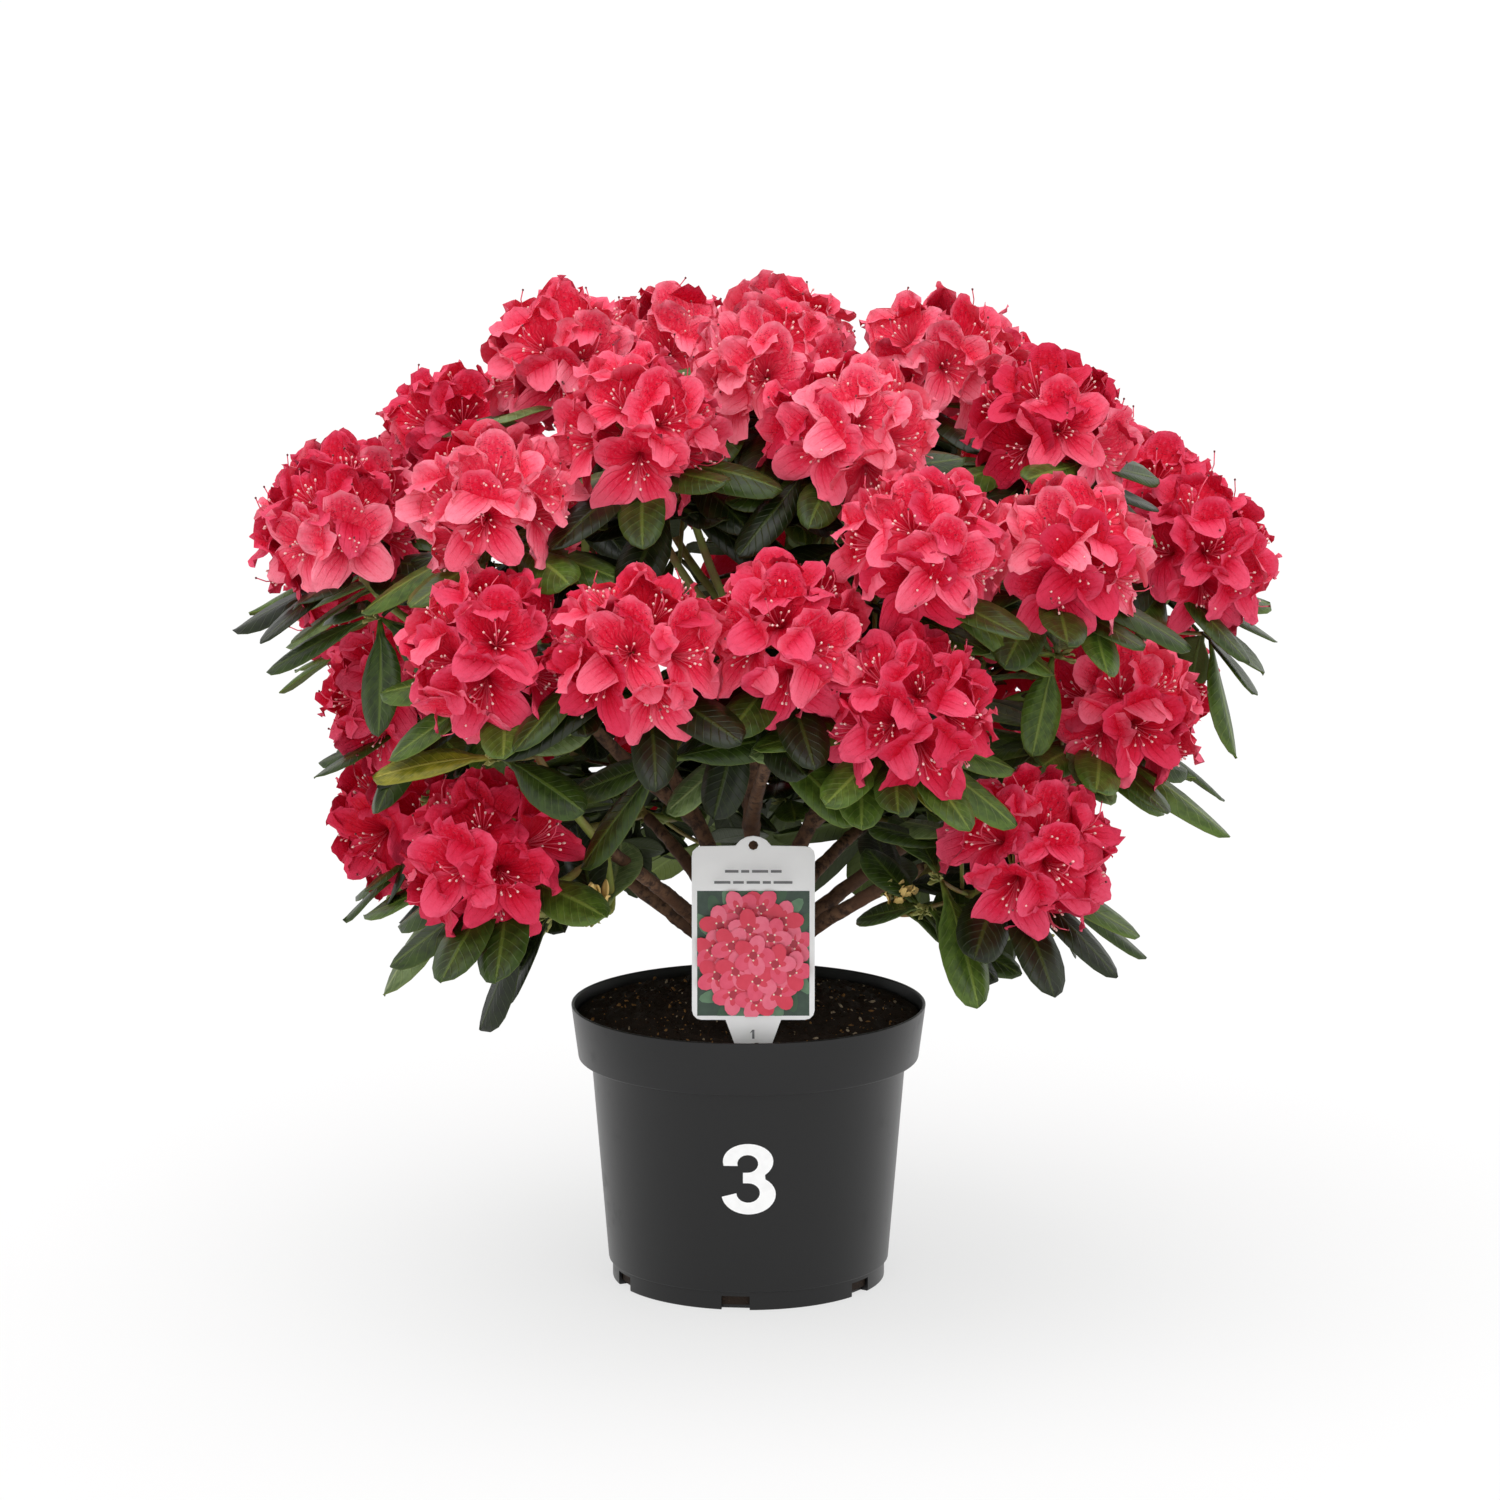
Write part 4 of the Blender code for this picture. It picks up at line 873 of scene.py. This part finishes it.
def leaves_round(whorl, rng):
    """The leaves of one whorl. One that would run through a head of flowers or a bud, or stand in the way, is
    turned a few times, then left out."""
    facing = whorl.facing
    axis = (facing + UP * WHORL_UPRIGHT).normalized()
    across = axis.orthogonal().normalized()
    outward = Vector((whorl.foot.x, whorl.foot.y, 0)).normalized()
    up = (UP + facing * UP_BY_FACING + outward * UP_BY_OUTSIDE).normalized()
    first = rng.uniform(0, tau)
    own = whorl.head if whorl.scale == 1.0 else None
    taken = [(head.centre, FLOWER_ROOM) for head in in_bloom if head is not own]
    taken += [(head.centre + head.facing * FLOWER_ROOM, FACE_ROOM) for head in in_bloom]
    taken += [(head.centre + head.facing * BUD_ROOM * 0.6, BUD_ROOM) for head in in_bud]
    for i in range(whorl.leaves):
        for _ in range(TRIES_PER_LEAF):
            angle = first + tau * (i + rng.uniform(-0.25, 0.25)) / whorl.leaves
            way = Quaternion(axis, angle) @ across + axis * rng.uniform(LEAST_RISE, MOST_RISE)
            way = (way - facing * max(0.0, way.dot(facing) - LEAN_TO_HEAD)).normalized()
            root = whorl.foot + facing * whorl.length * rng.random() + way * OFF_TWIG
            length = LEAF_LENGTH * whorl.scale * rng.uniform(0.86, 1.15)
            droop = rng.uniform(LEAST_DROOP, MOST_DROOP)
            tip = root + way * length - Vector((0, 0, droop * length))
            middle = root.lerp(tip, 0.55)
            spots = middle, root.lerp(tip, 0.8), tip
            crowded = any((spot - place).length < room for place, room in taken for spot in spots)
            astray = tip.z < LOWEST_LEAF or tip.xy.length > LEAF_REACH or way.cross(up).length < LEAST_TURN
            if crowded or astray:
                continue
            if in_the_way(tip, rng) or in_the_way(middle, rng):
                continue
            width = LEAF_WIDTH * whorl.scale ** 0.5 * rng.uniform(0.94, 1.22)
            yield leaf_points(root, way, up, length, width, droop, rng)
            break


def leaf_finish(name, dark, light, rib, under):
    """A leaf's upper side, with its midrib and veins, and its duller underside, by the leaf's own map."""
    finish = Finish(name, Specular_IOR_Level=0.32)
    place, side, along = finish.own_map()
    below = finish.math("GREATER_THAN", side, 0.5)
    across = finish.math("ABSOLUTE", finish.math("FRACT", side * 2) * 2.17 - 1.085)
    rib_mask = 1 - finish.ramp(across, 0.035, 0.12)
    vein = finish.math("ABSOLUTE", finish.math("SINE", (along * 13 - across * 2.2) * pi))
    vein_mask = 1 - finish.ramp(vein, 0.0, 0.34)
    mottle = finish.grain(9, 4, 0.6, place)
    top = finish.blend(finish.ramp(mottle, 0.32, 0.70), dark, light)
    top = finish.blend(vein_mask * 0.30, top, rib)
    top = finish.blend(finish.ramp(across, 0.80, 1.02), top, light)
    top = finish.blend(finish.math("MAXIMUM", rib_mask * 0.75, 1 - finish.ramp(along, 0.08, 0.16)), top, rib)
    finish.colour(below, top, finish.blend(rib_mask * 0.8, under, rib))
    finish.set("Roughness", below * 0.28 + mottle * 0.16 + 0.30)
    finish.bump(vein_mask * -0.5 - rib_mask, 0.0003)
    return finish


kinds = range(len(LEAF_KINDS))
leaf_copies = {"upper": ([], []), "lower": ([], [])}
for index, whorl in enumerate(whorls):
    rng = random.Random(f"{SEED} whorl {index}")
    # Painted shade and light: whorls inside the crown take mostly the deepest tint, outer ones the lighter
    # tints and the grey painted sheen
    outside = whorl.scale == 1.0 or whorl.foot.xy.length > OUTER_RADIUS
    shares = LIT_OUTER_LEAF_SHARES if outside else SHADED_INNER_LEAF_SHARES
    main = rng.choices(kinds, shares)[0]
    leaves, tints = leaf_copies["upper" if whorl.head.centre.z > CROWN_WAIST - 0.02 else "lower"]
    for leaf in leaves_round(whorl, rng):
        tints.append(main if rng.random() < SAME_TINT else rng.choices(kinds, shares)[0])
        leaves.append(leaf)
leaf_finishes = [leaf_finish(name, *tones) for name, (*tones, _, _) in LEAF_KINDS.items()]
for level, (leaves, tints) in leaf_copies.items():
    add_copies(f"leaves_{level}", [(leaf_faces, leaves, tints, leaf_uvs)], leaf_finishes)


# Buds
# The leafy shoots end in a plump resting bud of golden-tan scales, and the side shoots in small green ones.
# Their scales are narrow and pointed, wrap closely round the shoot's tip and spread a little at the foot.
BUD_LENGTH, BUD_SCALE_WIDTH = 0.024, 0.0044
BUD_SCALES, SIDE_BUD_SCALES, BUD_TURN = 11, 5, 2.4

bud_scales, bud_tints = [], []
for head, place, facing, scale in bud_places:
    rng = generator(head, f"bud {place.x:.4f}")
    across = facing.orthogonal().normalized()
    small = scale != 1.0
    number = SIDE_BUD_SCALES if small else BUD_SCALES
    for i in range(number):
        out = Quaternion(facing, BUD_TURN * i) @ across
        spread = 0.80 * (1 - i / number) ** 3 + 0.05
        way = (facing + out * spread * rng.uniform(0.7, 1.2)).normalized()
        length = BUD_LENGTH * scale * (0.62 + 0.38 * i / number) * rng.uniform(0.85, 1.0)
        root = place + out * 0.0012 * scale - facing * 0.002
        bud_scales.append(leaf_points(root, way, -out, length, BUD_SCALE_WIDTH * scale, 0, rng))
        bud_tints.append(int(small))

bud_finishes = []
for name, low, high in (
    ("bud_gold", (182, 142, 72), (226, 194, 118)),
    ("bud_green", (112, 120, 56), (150, 150, 84)),
):
    finish = Finish(name, Roughness=0.6)
    place, _, along = finish.own_map()
    finish.colour(finish.ramp(along + finish.grain(7, where=place) * 0.4, 0.3, 1.0), low, high)
    bud_finishes.append(finish)
add_copies("buds", [(leaf_faces, bud_scales, bud_tints, leaf_uvs)], bud_finishes)


# Flowers
# Each head is a ball of open funnels on short green stalks. A flower has five rounded, ruffled lobes that
# part half way down, a crimson throat that runs up the top lobe, fine veins, and curved stamens.
FLOWERS_IN_HEAD, HEAD_SPREAD, HEAD_DROP = 13, radians(106), 0.003
FLOWER_BASE, GOLDEN_TURN, LEAST_FLOWER = 0.0150, 2.39996, 0.58
NEIGHBOUR_REACH, NEIGHBOUR_OVERLAP, NEIGHBOUR_SIDE = 2.2 * HEAD_RADIUS, 0.004, 0.35
SMALL_FLOWER, FLOWER_SAG, NEARLY_UPRIGHT = 0.80, 0.04, 0.94
TUBE_LENGTH, TUBE_FOOT_RADIUS = 0.0172, 0.0006
TUBE_LEAN, THROAT_LEAN = radians(10), radians(60)
LOBE_LENGTH, LOBE_HALF_WIDTH, LOBE_FULLNESS = 0.0184, 0.0110, 0.46
LOBE_COLUMNS, TUBE_ROWS, LOBE_ROWS = 6, 2, 7
TUBE_SHARE = TUBE_ROWS / (TUBE_ROWS + LOBE_ROWS)
# Round the flower from its top: the upper three lobes crowd together, the lower two hang apart
LOBE_TURNS = (0, 66, 141, 219, 294)
LOBE_WIDTHS = (1.14, 1.02, 0.90, 0.90, 1.02)
LOBE_LENGTHS = (1.00, 0.98, 1.20, 1.20, 0.98)
LOBE_LEANS = (58, 72, 88, 88, 72)
LOBES, LOBES_APART, CURVE_STEPS = len(LOBE_TURNS), 4, 25
LOBE_GROWN, LOBE_TURNED, LOBE_FLAT = 0.6, 0.4, 0.8
# How far a flower is open, and how often
OPENNESS, OPEN_SHARES = (1.0, 0.72), (92, 8)
STAMENS, FILAMENT_POINTS, STYLE_POINTS, PEDICEL_POINTS = 9, 5, 6, 5
FILAMENT_RADIUS, STYLE_RADIUS, STIGMA_RADIUS = 0.00032, 0.00032 * 1.2, 0.0007
THREAD_SIDES, PEDICEL_SIDES, THREAD_GRAIN = 3, 5, 120
ANTHER_SIZE = (0.00072, 0.00072, 0.00105)
PEDICEL_RADII = (0.0011, 0.0009, 0.0009, 0.0011, 0.0014)
STAMEN_FOOT = Vector((0, 0, 0.003))
# The last is the strength of the petals' painted glow, which stands in for light let through them
PALE_STREAKS, DEEP_STREAKS, PAINTED_PETAL_GLOW = 0.42, 0.46, 0.09
# Each kind's tones from the rim to the flare, and how often it falls on the lowest and the highest heads. The
# paler kinds high up and the deeper kinds low down are partly the heads' own spread of tints, partly painted
# light from above and painted shade below
PETAL_KINDS = {
    "petal_coral": ((235, 114, 138), (227, 58, 90), (213, 11, 49), 22, 46),
    "petal_rose": ((220, 84, 114), (208, 34, 70), (196, 2, 38), 38, 6),
    "petal_deep": ((210, 60, 92), (198, 18, 54), (184, 0, 30), 39, 0),
    "petal_soft": ((241, 142, 160), (235, 88, 116), (223, 32, 66), 1, 48),
}
*_, LOW_TINT_SHARES, HIGH_TINT_SHARES = zip(*PETAL_KINDS.values())
LOW_TINT_LEVEL, HIGH_TINT_LEVEL = 0.38, 0.49
PETAL_GROUPS = {
    "crown": [name for name in BOUGHS if name.startswith("crown")],
    "shoulders": [name for name in BOUGHS if not name.startswith(("crown", "low"))],
    "skirt": [name for name in BOUGHS if name.startswith("low")],
}

# Where one flower stands, and its own ways to the right, up and ahead
Flower = namedtuple("Flower", "base axis ways size")

petal_bm = bmesh.new()
for lobe in range(LOBES):
    made = bmesh.ops.create_grid(petal_bm, x_segments=LOBE_COLUMNS, y_segments=TUBE_ROWS + LOBE_ROWS, size=1)
    bmesh.ops.translate(petal_bm, vec=(LOBES_APART * lobe, 0, 0), verts=made["verts"])
petal_pattern, petal_faces = pattern_of(petal_bm)
petal_lobe = np.round(petal_pattern[:, 0] / LOBES_APART).astype(int)
petal_across = petal_pattern[:, 0] - LOBES_APART * petal_lobe
petal_share = petal_pattern[:, 1] * 0.5 + 0.5
in_tube = np.clip(petal_share / TUBE_SHARE, 0, 1)
in_lobe = np.clip((petal_share - TUBE_SHARE) / (1 - TUBE_SHARE), 0, 1)
lobe_run = in_lobe * (1 - petal_across ** 2 / 2) ** LOBE_FULLNESS
petal_uv = np.stack([
    (petal_lobe + 0.5 + 0.47 * petal_across) / LOBES,
    np.where(in_lobe > 0, TUBE_SHARE + (1 - TUBE_SHARE) * lobe_run, petal_share),
], -1)
petal_uvs = [petal_uv[faces] for faces in petal_faces]
anther_bm = bmesh.new()
bmesh.ops.create_uvsphere(anther_bm, u_segments=5, v_segments=3, radius=1)
anther_pattern, anther_faces = pattern_of(anther_bm)


def corolla(rng, openness):
    """An open flower's points in its own frame: X to its right, Y up, Z along its axis from its base."""
    points = np.zeros((len(petal_pattern), 3))
    steps = np.linspace(0, 1, CURVE_STEPS)
    for lobe in range(LOBES):
        here = petal_lobe == lobe
        side, out = petal_across[here], in_lobe[here]
        length = LOBE_LENGTH * LOBE_LENGTHS[lobe] * rng.uniform(0.92, 1.08)
        width = LOBE_HALF_WIDTH * LOBE_WIDTHS[lobe] * rng.uniform(0.92, 1.08)
        outward = radians(LOBE_LEANS[lobe] + rng.uniform(-14, 14)) * openness
        # The midline, from the tube's foot to the lobe's tip: its radius and height by how far it leans out
        tube_leans = TUBE_LEAN + (THROAT_LEAN * openness - TUBE_LEAN) * steps ** 1.6
        lobe_leans = tube_leans[-1] + (outward - tube_leans[-1]) * (1 - (1 - steps) ** 2)
        leans = np.concatenate([tube_leans, lobe_leans[1:]])
        runs = np.concatenate([steps * TUBE_LENGTH, TUBE_LENGTH + steps[1:] * length])
        gaps = np.diff(runs)
        middles = (leans[1:] + leans[:-1]) / 2
        radii = TUBE_FOOT_RADIUS + np.concatenate([[0], np.cumsum(gaps * np.sin(middles))])
        heights = np.concatenate([[0], np.cumsum(gaps * np.cos(middles))])
        run = in_tube[here] * TUBE_LENGTH + lobe_run[here] * length
        radius, height, lean = (np.interp(run, runs, values) for values in (radii, heights, leans))
        # The width on both sides of it, wrapped round the tube and nearly flat in the lobe
        throat = np.interp(TUBE_LENGTH, runs, radii)
        grown = np.clip(out / LOBE_GROWN, 0, 1)
        half = throat * pi / LOBES * (1 - grown) + width * (1 - (1 - grown) ** 2)
        wrapped = side * radius * pi / LOBES
        across = np.where(out > 0, side * half * (1 - out ** 2 / 2) ** LOBE_FULLNESS, wrapped)
        evenly = 360 / LOBES * lobe
        shift = LOBE_TURNS[lobe] - evenly + rng.uniform(-5, 5)
        around = np.radians(90 + evenly + shift * np.clip(out / LOBE_TURNED, 0, 1))
        swing = around - across / radius
        flat = LOBE_FLAT * out
        x = (1 - flat) * radius * np.cos(swing) + flat * (radius * np.cos(around) + across * np.sin(around))
        y = (1 - flat) * radius * np.sin(swing) + flat * (radius * np.sin(around) - across * np.cos(around))
        # Ruffles at the margin, a crease down the middle and a little curl
        wave = tau * (rng.uniform(1.2, 2.2) * out + rng.uniform(0.6, 1.3) * side) + rng.uniform(0, 6)
        cross_wave = tau * (rng.uniform(1.3, 2.3) * side - rng.uniform(0.6, 1.2) * out) + rng.uniform(0, 6)
        ruffle = np.sin(wave) + 0.8 * np.sin(cross_wave)
        bulge = rng.uniform(0.0009, 0.0018) * ruffle * (np.maximum(np.abs(side), out) ** 2 * out)
        bulge += rng.uniform(-0.0022, 0.0010) * side ** 2 * out
        bulge -= 0.0014 * np.exp(-(side / 0.20) ** 2) * np.sqrt(out) * (1.1 - out)
        bulge += (0.0010 + rng.uniform(-0.0006, 0.0012)) * side * out
        points[here, 0] = x - bulge * np.cos(lean) * np.cos(around)
        points[here, 1] = y - bulge * np.cos(lean) * np.sin(around)
        points[here, 2] = height + bulge * np.sin(lean)
    return points


def flowers_of(head):
    """The flowers of one head, spread evenly over the side that looks outwards, each with its random numbers.
    They are smaller towards a neighbouring head, and left out where they would run into it."""
    rng = generator(head, "flowers")
    across = head.axis.orthogonal().normalized()
    gaps = [other.centre - head.centre for other in in_bloom if other is not head]
    near = [gap for gap in gaps if gap.length < NEIGHBOUR_REACH]
    spare = [(gap / gap.length, gap.length / 2 + NEIGHBOUR_OVERLAP) for gap in near]
    turn = rng.uniform(0, tau)
    for i in range(FLOWERS_IN_HEAD):
        level = 1 - (1 - cos(HEAD_SPREAD)) * (i + 0.45) / FLOWERS_IN_HEAD
        polar = acos(level) + rng.uniform(-0.10, 0.10)
        out = Quaternion(head.axis, turn + GOLDEN_TURN * i + rng.uniform(-0.15, 0.15)) @ across
        axis = (head.axis * cos(polar) + out * sin(polar) - UP * FLOWER_SAG).normalized()
        leans = [(axis.dot(way), reach) for way, reach in spare]
        rooms = [reach / (HEAD_RADIUS * lean) for lean, reach in leans if lean > NEIGHBOUR_SIDE]
        room = min([1.0, *rooms])
        if room < LEAST_FLOWER:
            continue
        up = (UP + head.facing * 0.25).normalized()
        if abs(axis.dot(up)) > NEARLY_UPRIGHT:
            up = -Vector((head.facing.x, head.facing.y, 0)).normalized() - axis * 0.1
        up = Quaternion(axis, rng.uniform(-0.30, 0.30)) @ up
        size = max(SMALL_FLOWER, room) * rng.uniform(0.94, 1.06)
        base = head.centre + axis * FLOWER_BASE * room - UP * HEAD_DROP
        right = up.cross(axis).normalized()
        yield Flower(base, axis, np.array([right, axis.cross(right), axis]), size), rng


def placed(flower, points):
    """Points in a flower's own frame, put where they stand on the plant."""
    return np.array(flower.base) + (np.asarray(points) * flower.size) @ flower.ways


def stamens_of(rng):
    """Curved threads that leave the tube low and turn up towards their tips, and the long style."""
    turn = rng.uniform(0, tau)
    for i in range(STAMENS):
        angle = turn + tau * i / STAMENS + rng.uniform(-0.25, 0.25)
        spread = rng.uniform(0.0030, 0.0080)
        tip = Vector((spread * cos(angle), spread * sin(angle) - 0.003, rng.uniform(0.017, 0.026)))
        bend = Vector((tip.x * 0.25, tip.y * 0.3 - 0.002, tip.z * 0.65))
        yield bezier(STAMEN_FOOT, bend, tip, FILAMENT_POINTS - 1)
    tip = Vector((rng.uniform(-0.004, 0.004), rng.uniform(-0.002, 0.007), rng.uniform(0.027, 0.034)))
    yield bezier(STAMEN_FOOT, Vector((0, -0.009, tip.z * 0.75)), tip, STYLE_POINTS - 1)


def petal_finish(name, rim, body, flare):
    """Petal colour by the flower's own map: five strips for the lobes, each from the tube to its tip."""
    finish = Finish(name, Roughness=0.6, Specular_IOR_Level=0.12)
    # Painted light: a faint glow in the flare's colour stands in for light let through the thin petals
    finish.set("Emission Color", flare)
    finish.set("Emission Strength", PAINTED_PETAL_GLOW)
    place, strips, along = finish.own_map()
    lobe = finish.math("FLOOR", strips * LOBES)
    side = finish.math("FRACT", strips * LOBES) * 2.13 - 1.065
    across = finish.math("ABSOLUTE", side)
    upper = finish.math("COSINE", lobe * (tau / LOBES)) * 0.5 + 0.5
    mottle = finish.grain(16, 3, 0.6, place)
    streaks = finish.grain(9, 4, 0.65, finish.node("CombineXYZ", {"X": strips * 9, "Y": along})[0])
    # Paler towards the rim and down the lower lobes
    edge = finish.ramp(finish.math("MAXIMUM", across, along * 3.2 - 2.2), 0.35, 1.0)
    tone = finish.blend(edge * 0.75, body, rim)
    tone = finish.blend((1 - upper) * finish.ramp(along, 0.45, 0.8) * 0.65, tone, rim)
    # Veins that fan out from the throat, and the flare that runs furthest up the top lobe
    vein = finish.math("ABSOLUTE", finish.math("SINE", side * (11 - along * 5.5)))
    vein_mask = (1 - finish.ramp(vein, 0.0, 0.45)) * (1 - finish.ramp(along, 0.55, 0.98))
    tone = finish.blend(vein_mask * 0.38, tone, flare)
    ahead = upper * 0.44 + 0.34 - across * across * 0.30 + mottle * 0.10 - along
    tone = finish.blend(finish.ramp(ahead, -0.16, 0.22) * 0.85, tone, flare)
    # Dark freckles on the top lobe, and pale and deep streaks all over
    spots = finish.node("TexVoronoi", {"Vector": place, "Scale": 46.0})["Distance"]
    zone = finish.ramp(upper, 0.4, 0.7) * finish.ramp(ahead, -0.14, 0.02) * finish.ramp(along, 0.34, 0.44)
    tone = finish.blend((1 - finish.ramp(spots, 0.16, 0.30)) * zone * 0.85, tone, (96, 4, 26))
    tone = finish.blend(finish.ramp(streaks, 0.48, 0.72) * PALE_STREAKS, tone, rim)
    finish.colour((1 - finish.ramp(streaks, 0.26, 0.46)) * DEEP_STREAKS, tone, flare)
    finish.bump(mottle + streaks - vein_mask * 0.6, 0.0005)
    return finish


def tint_shares(head):
    """How often each petal colour falls on a head: the low heads are deeper and the high ones pinker, partly
    as the heads' own spread of tints, partly as painted shade below and painted light from above.
    """
    rise = float(np.clip((head.centre.z - LOW_TINT_LEVEL) / (HIGH_TINT_LEVEL - LOW_TINT_LEVEL), 0, 1))
    return [low + (high - low) * rise for low, high in zip(LOW_TINT_SHARES, HIGH_TINT_SHARES)]


petal_finishes = [petal_finish(name, *tones) for name, (*tones, _, _) in PETAL_KINDS.items()]
thread_finishes = [
    two_toned("filament", (226, 50, 84), (244, 110, 134), THREAD_GRAIN, Roughness=0.5),
    two_toned("anther", (240, 178, 174), (248, 212, 206), THREAD_GRAIN, Roughness=0.7),
    two_toned("stigma", (96, 22, 30), (128, 34, 44), THREAD_GRAIN, Roughness=0.5),
]
pedicel_finish = two_toned("pedicel", (140, 146, 60), (166, 132, 72), THREAD_GRAIN, Roughness=0.5)

kinds = range(len(PETAL_KINDS))
stalk_faces = tube_faces(PEDICEL_POINTS, PEDICEL_SIDES)
for group, names in PETAL_GROUPS.items():
    petals, petal_tints, threads, styles, anthers, stigmas, stalks = [], [], [], [], [], [], []
    for head in [head for name in names for head in sprays[name] if head.in_flower]:
        shares = tint_shares(head)
        head_tint = generator(head, "tint").choices(kinds, shares)[0]
        for flower, rng in flowers_of(head):
            openness = rng.choices(OPENNESS, OPEN_SHARES)[0] * rng.uniform(0.92, 1.05)
            petals.append(placed(flower, corolla(rng, openness)))
            petal_tints.append(head_tint if rng.random() < SAME_TINT else rng.choices(kinds, shares)[0])
            *lines, style = stamens_of(rng)
            for line in lines:
                threads.append(placed(flower, line))
                tip, before = Vector(threads[-1][-1]), Vector(threads[-1][-2])
                turn = np.array((tip - before).to_track_quat("Z", "Y").to_matrix())
                anthers.append((anther_pattern * ANTHER_SIZE) @ turn.T + np.array(tip))
            styles.append(placed(flower, style))
            stigmas.append(anther_pattern * STIGMA_RADIUS + styles[-1][-1])
            root = head.centre - head.axis * (HEART_RADIUS * rng.uniform(0.6, 1.4))
            bend = root.lerp(flower.base, 0.5) + head.axis * 0.003
            stalk = bezier(root, bend, flower.base - flower.axis * 0.0010, PEDICEL_POINTS - 1)
            stalks.append([list(point) for point in stalk])
    petal_batch = petal_faces, petals, petal_tints, petal_uvs
    replaced = ["foliage_" + name for name in names]
    add_copies(f"petals_{group}", [petal_batch], petal_finishes, replaced)
    thread_batches = [
        (tube_faces(FILAMENT_POINTS, THREAD_SIDES), tube_points(threads, FILAMENT_RADIUS, THREAD_SIDES), 0),
        (tube_faces(STYLE_POINTS, THREAD_SIDES), tube_points(styles, STYLE_RADIUS, THREAD_SIDES), 0),
        (anther_faces, anthers, 1),
        (anther_faces, stigmas, 2),
    ]
    add_copies(f"stamens_{group}", thread_batches, thread_finishes)
    stalk_batch = stalk_faces, tube_points(stalks, PEDICEL_RADII, PEDICEL_SIDES), 0
    add_copies(f"pedicels_{group}", [stalk_batch], [pedicel_finish])


# Floor, light and camera
# A plain pale floor in a white room, a wide soft light above the front, and a long lens that looks down a
# little at the plant.
FLOOR_RADIUS, FLOOR_WHITE, FLOOR_GLOW, WORLD_WHITE = 40, 0.27, 0.645, 0.88
# Each soft light: where it comes from, how wide it is and how strong
LIGHTS = {
    "key": (Vector((-0.25, -0.45, 1.65)), radians(60), 1.28),
    "fill": (Vector((0.30, -1.50, 0.50)), radians(70), 0.58),
    "back": (Vector((0.40, 1.10, 1.10)), radians(80), 0.55),
}
CAMERA_PLACE, CAMERA_PITCH = Vector((0, -3.0, 0.857)), radians(10.75)
CAMERA_LENS, CAMERA_SHIFT = 137.9, 0.001

floor_bm = bmesh.new()
bmesh.ops.create_circle(floor_bm, cap_ends=True, segments=96, radius=FLOOR_RADIUS)
floor = bpy.data.objects.new("floor", mesh_of("floor", floor_bm))
bpy.context.scene.collection.objects.link(floor)
paper = Finish("white_paper", Roughness=0.9, Specular_IOR_Level=0.0)
paper.set("Base Color", [FLOOR_WHITE] * 3 + [1])
paper.set("Emission Color", (255, 255, 255))
paper.set("Emission Strength", FLOOR_GLOW)
floor.data.materials.append(paper.material)

world = bpy.data.worlds.new("white_room")
world.use_nodes = True
background = world.node_tree.nodes["Background"].inputs
background["Color"].default_value = (1, 1, 1, 1)
background["Strength"].default_value = WORLD_WHITE
bpy.context.scene.world = world
bpy.context.scene.view_settings.view_transform = "Standard"

for name, (place, spread, strength) in LIGHTS.items():
    light = bpy.data.objects.new(name, bpy.data.lights.new(name, "SUN"))
    bpy.context.scene.collection.objects.link(light)
    light.data.angle = spread
    light.data.energy = strength
    light.location = place
    light.rotation_euler = (-place).to_track_quat("-Z", "Y").to_euler()
camera = bpy.data.objects.new("camera", bpy.data.cameras.new("camera"))
bpy.context.scene.collection.objects.link(camera)
camera.location = CAMERA_PLACE
camera.rotation_euler = (pi / 2 - CAMERA_PITCH, 0, 0)
camera.data.lens = CAMERA_LENS
camera.data.shift_x = CAMERA_SHIFT
bpy.context.scene.camera = camera
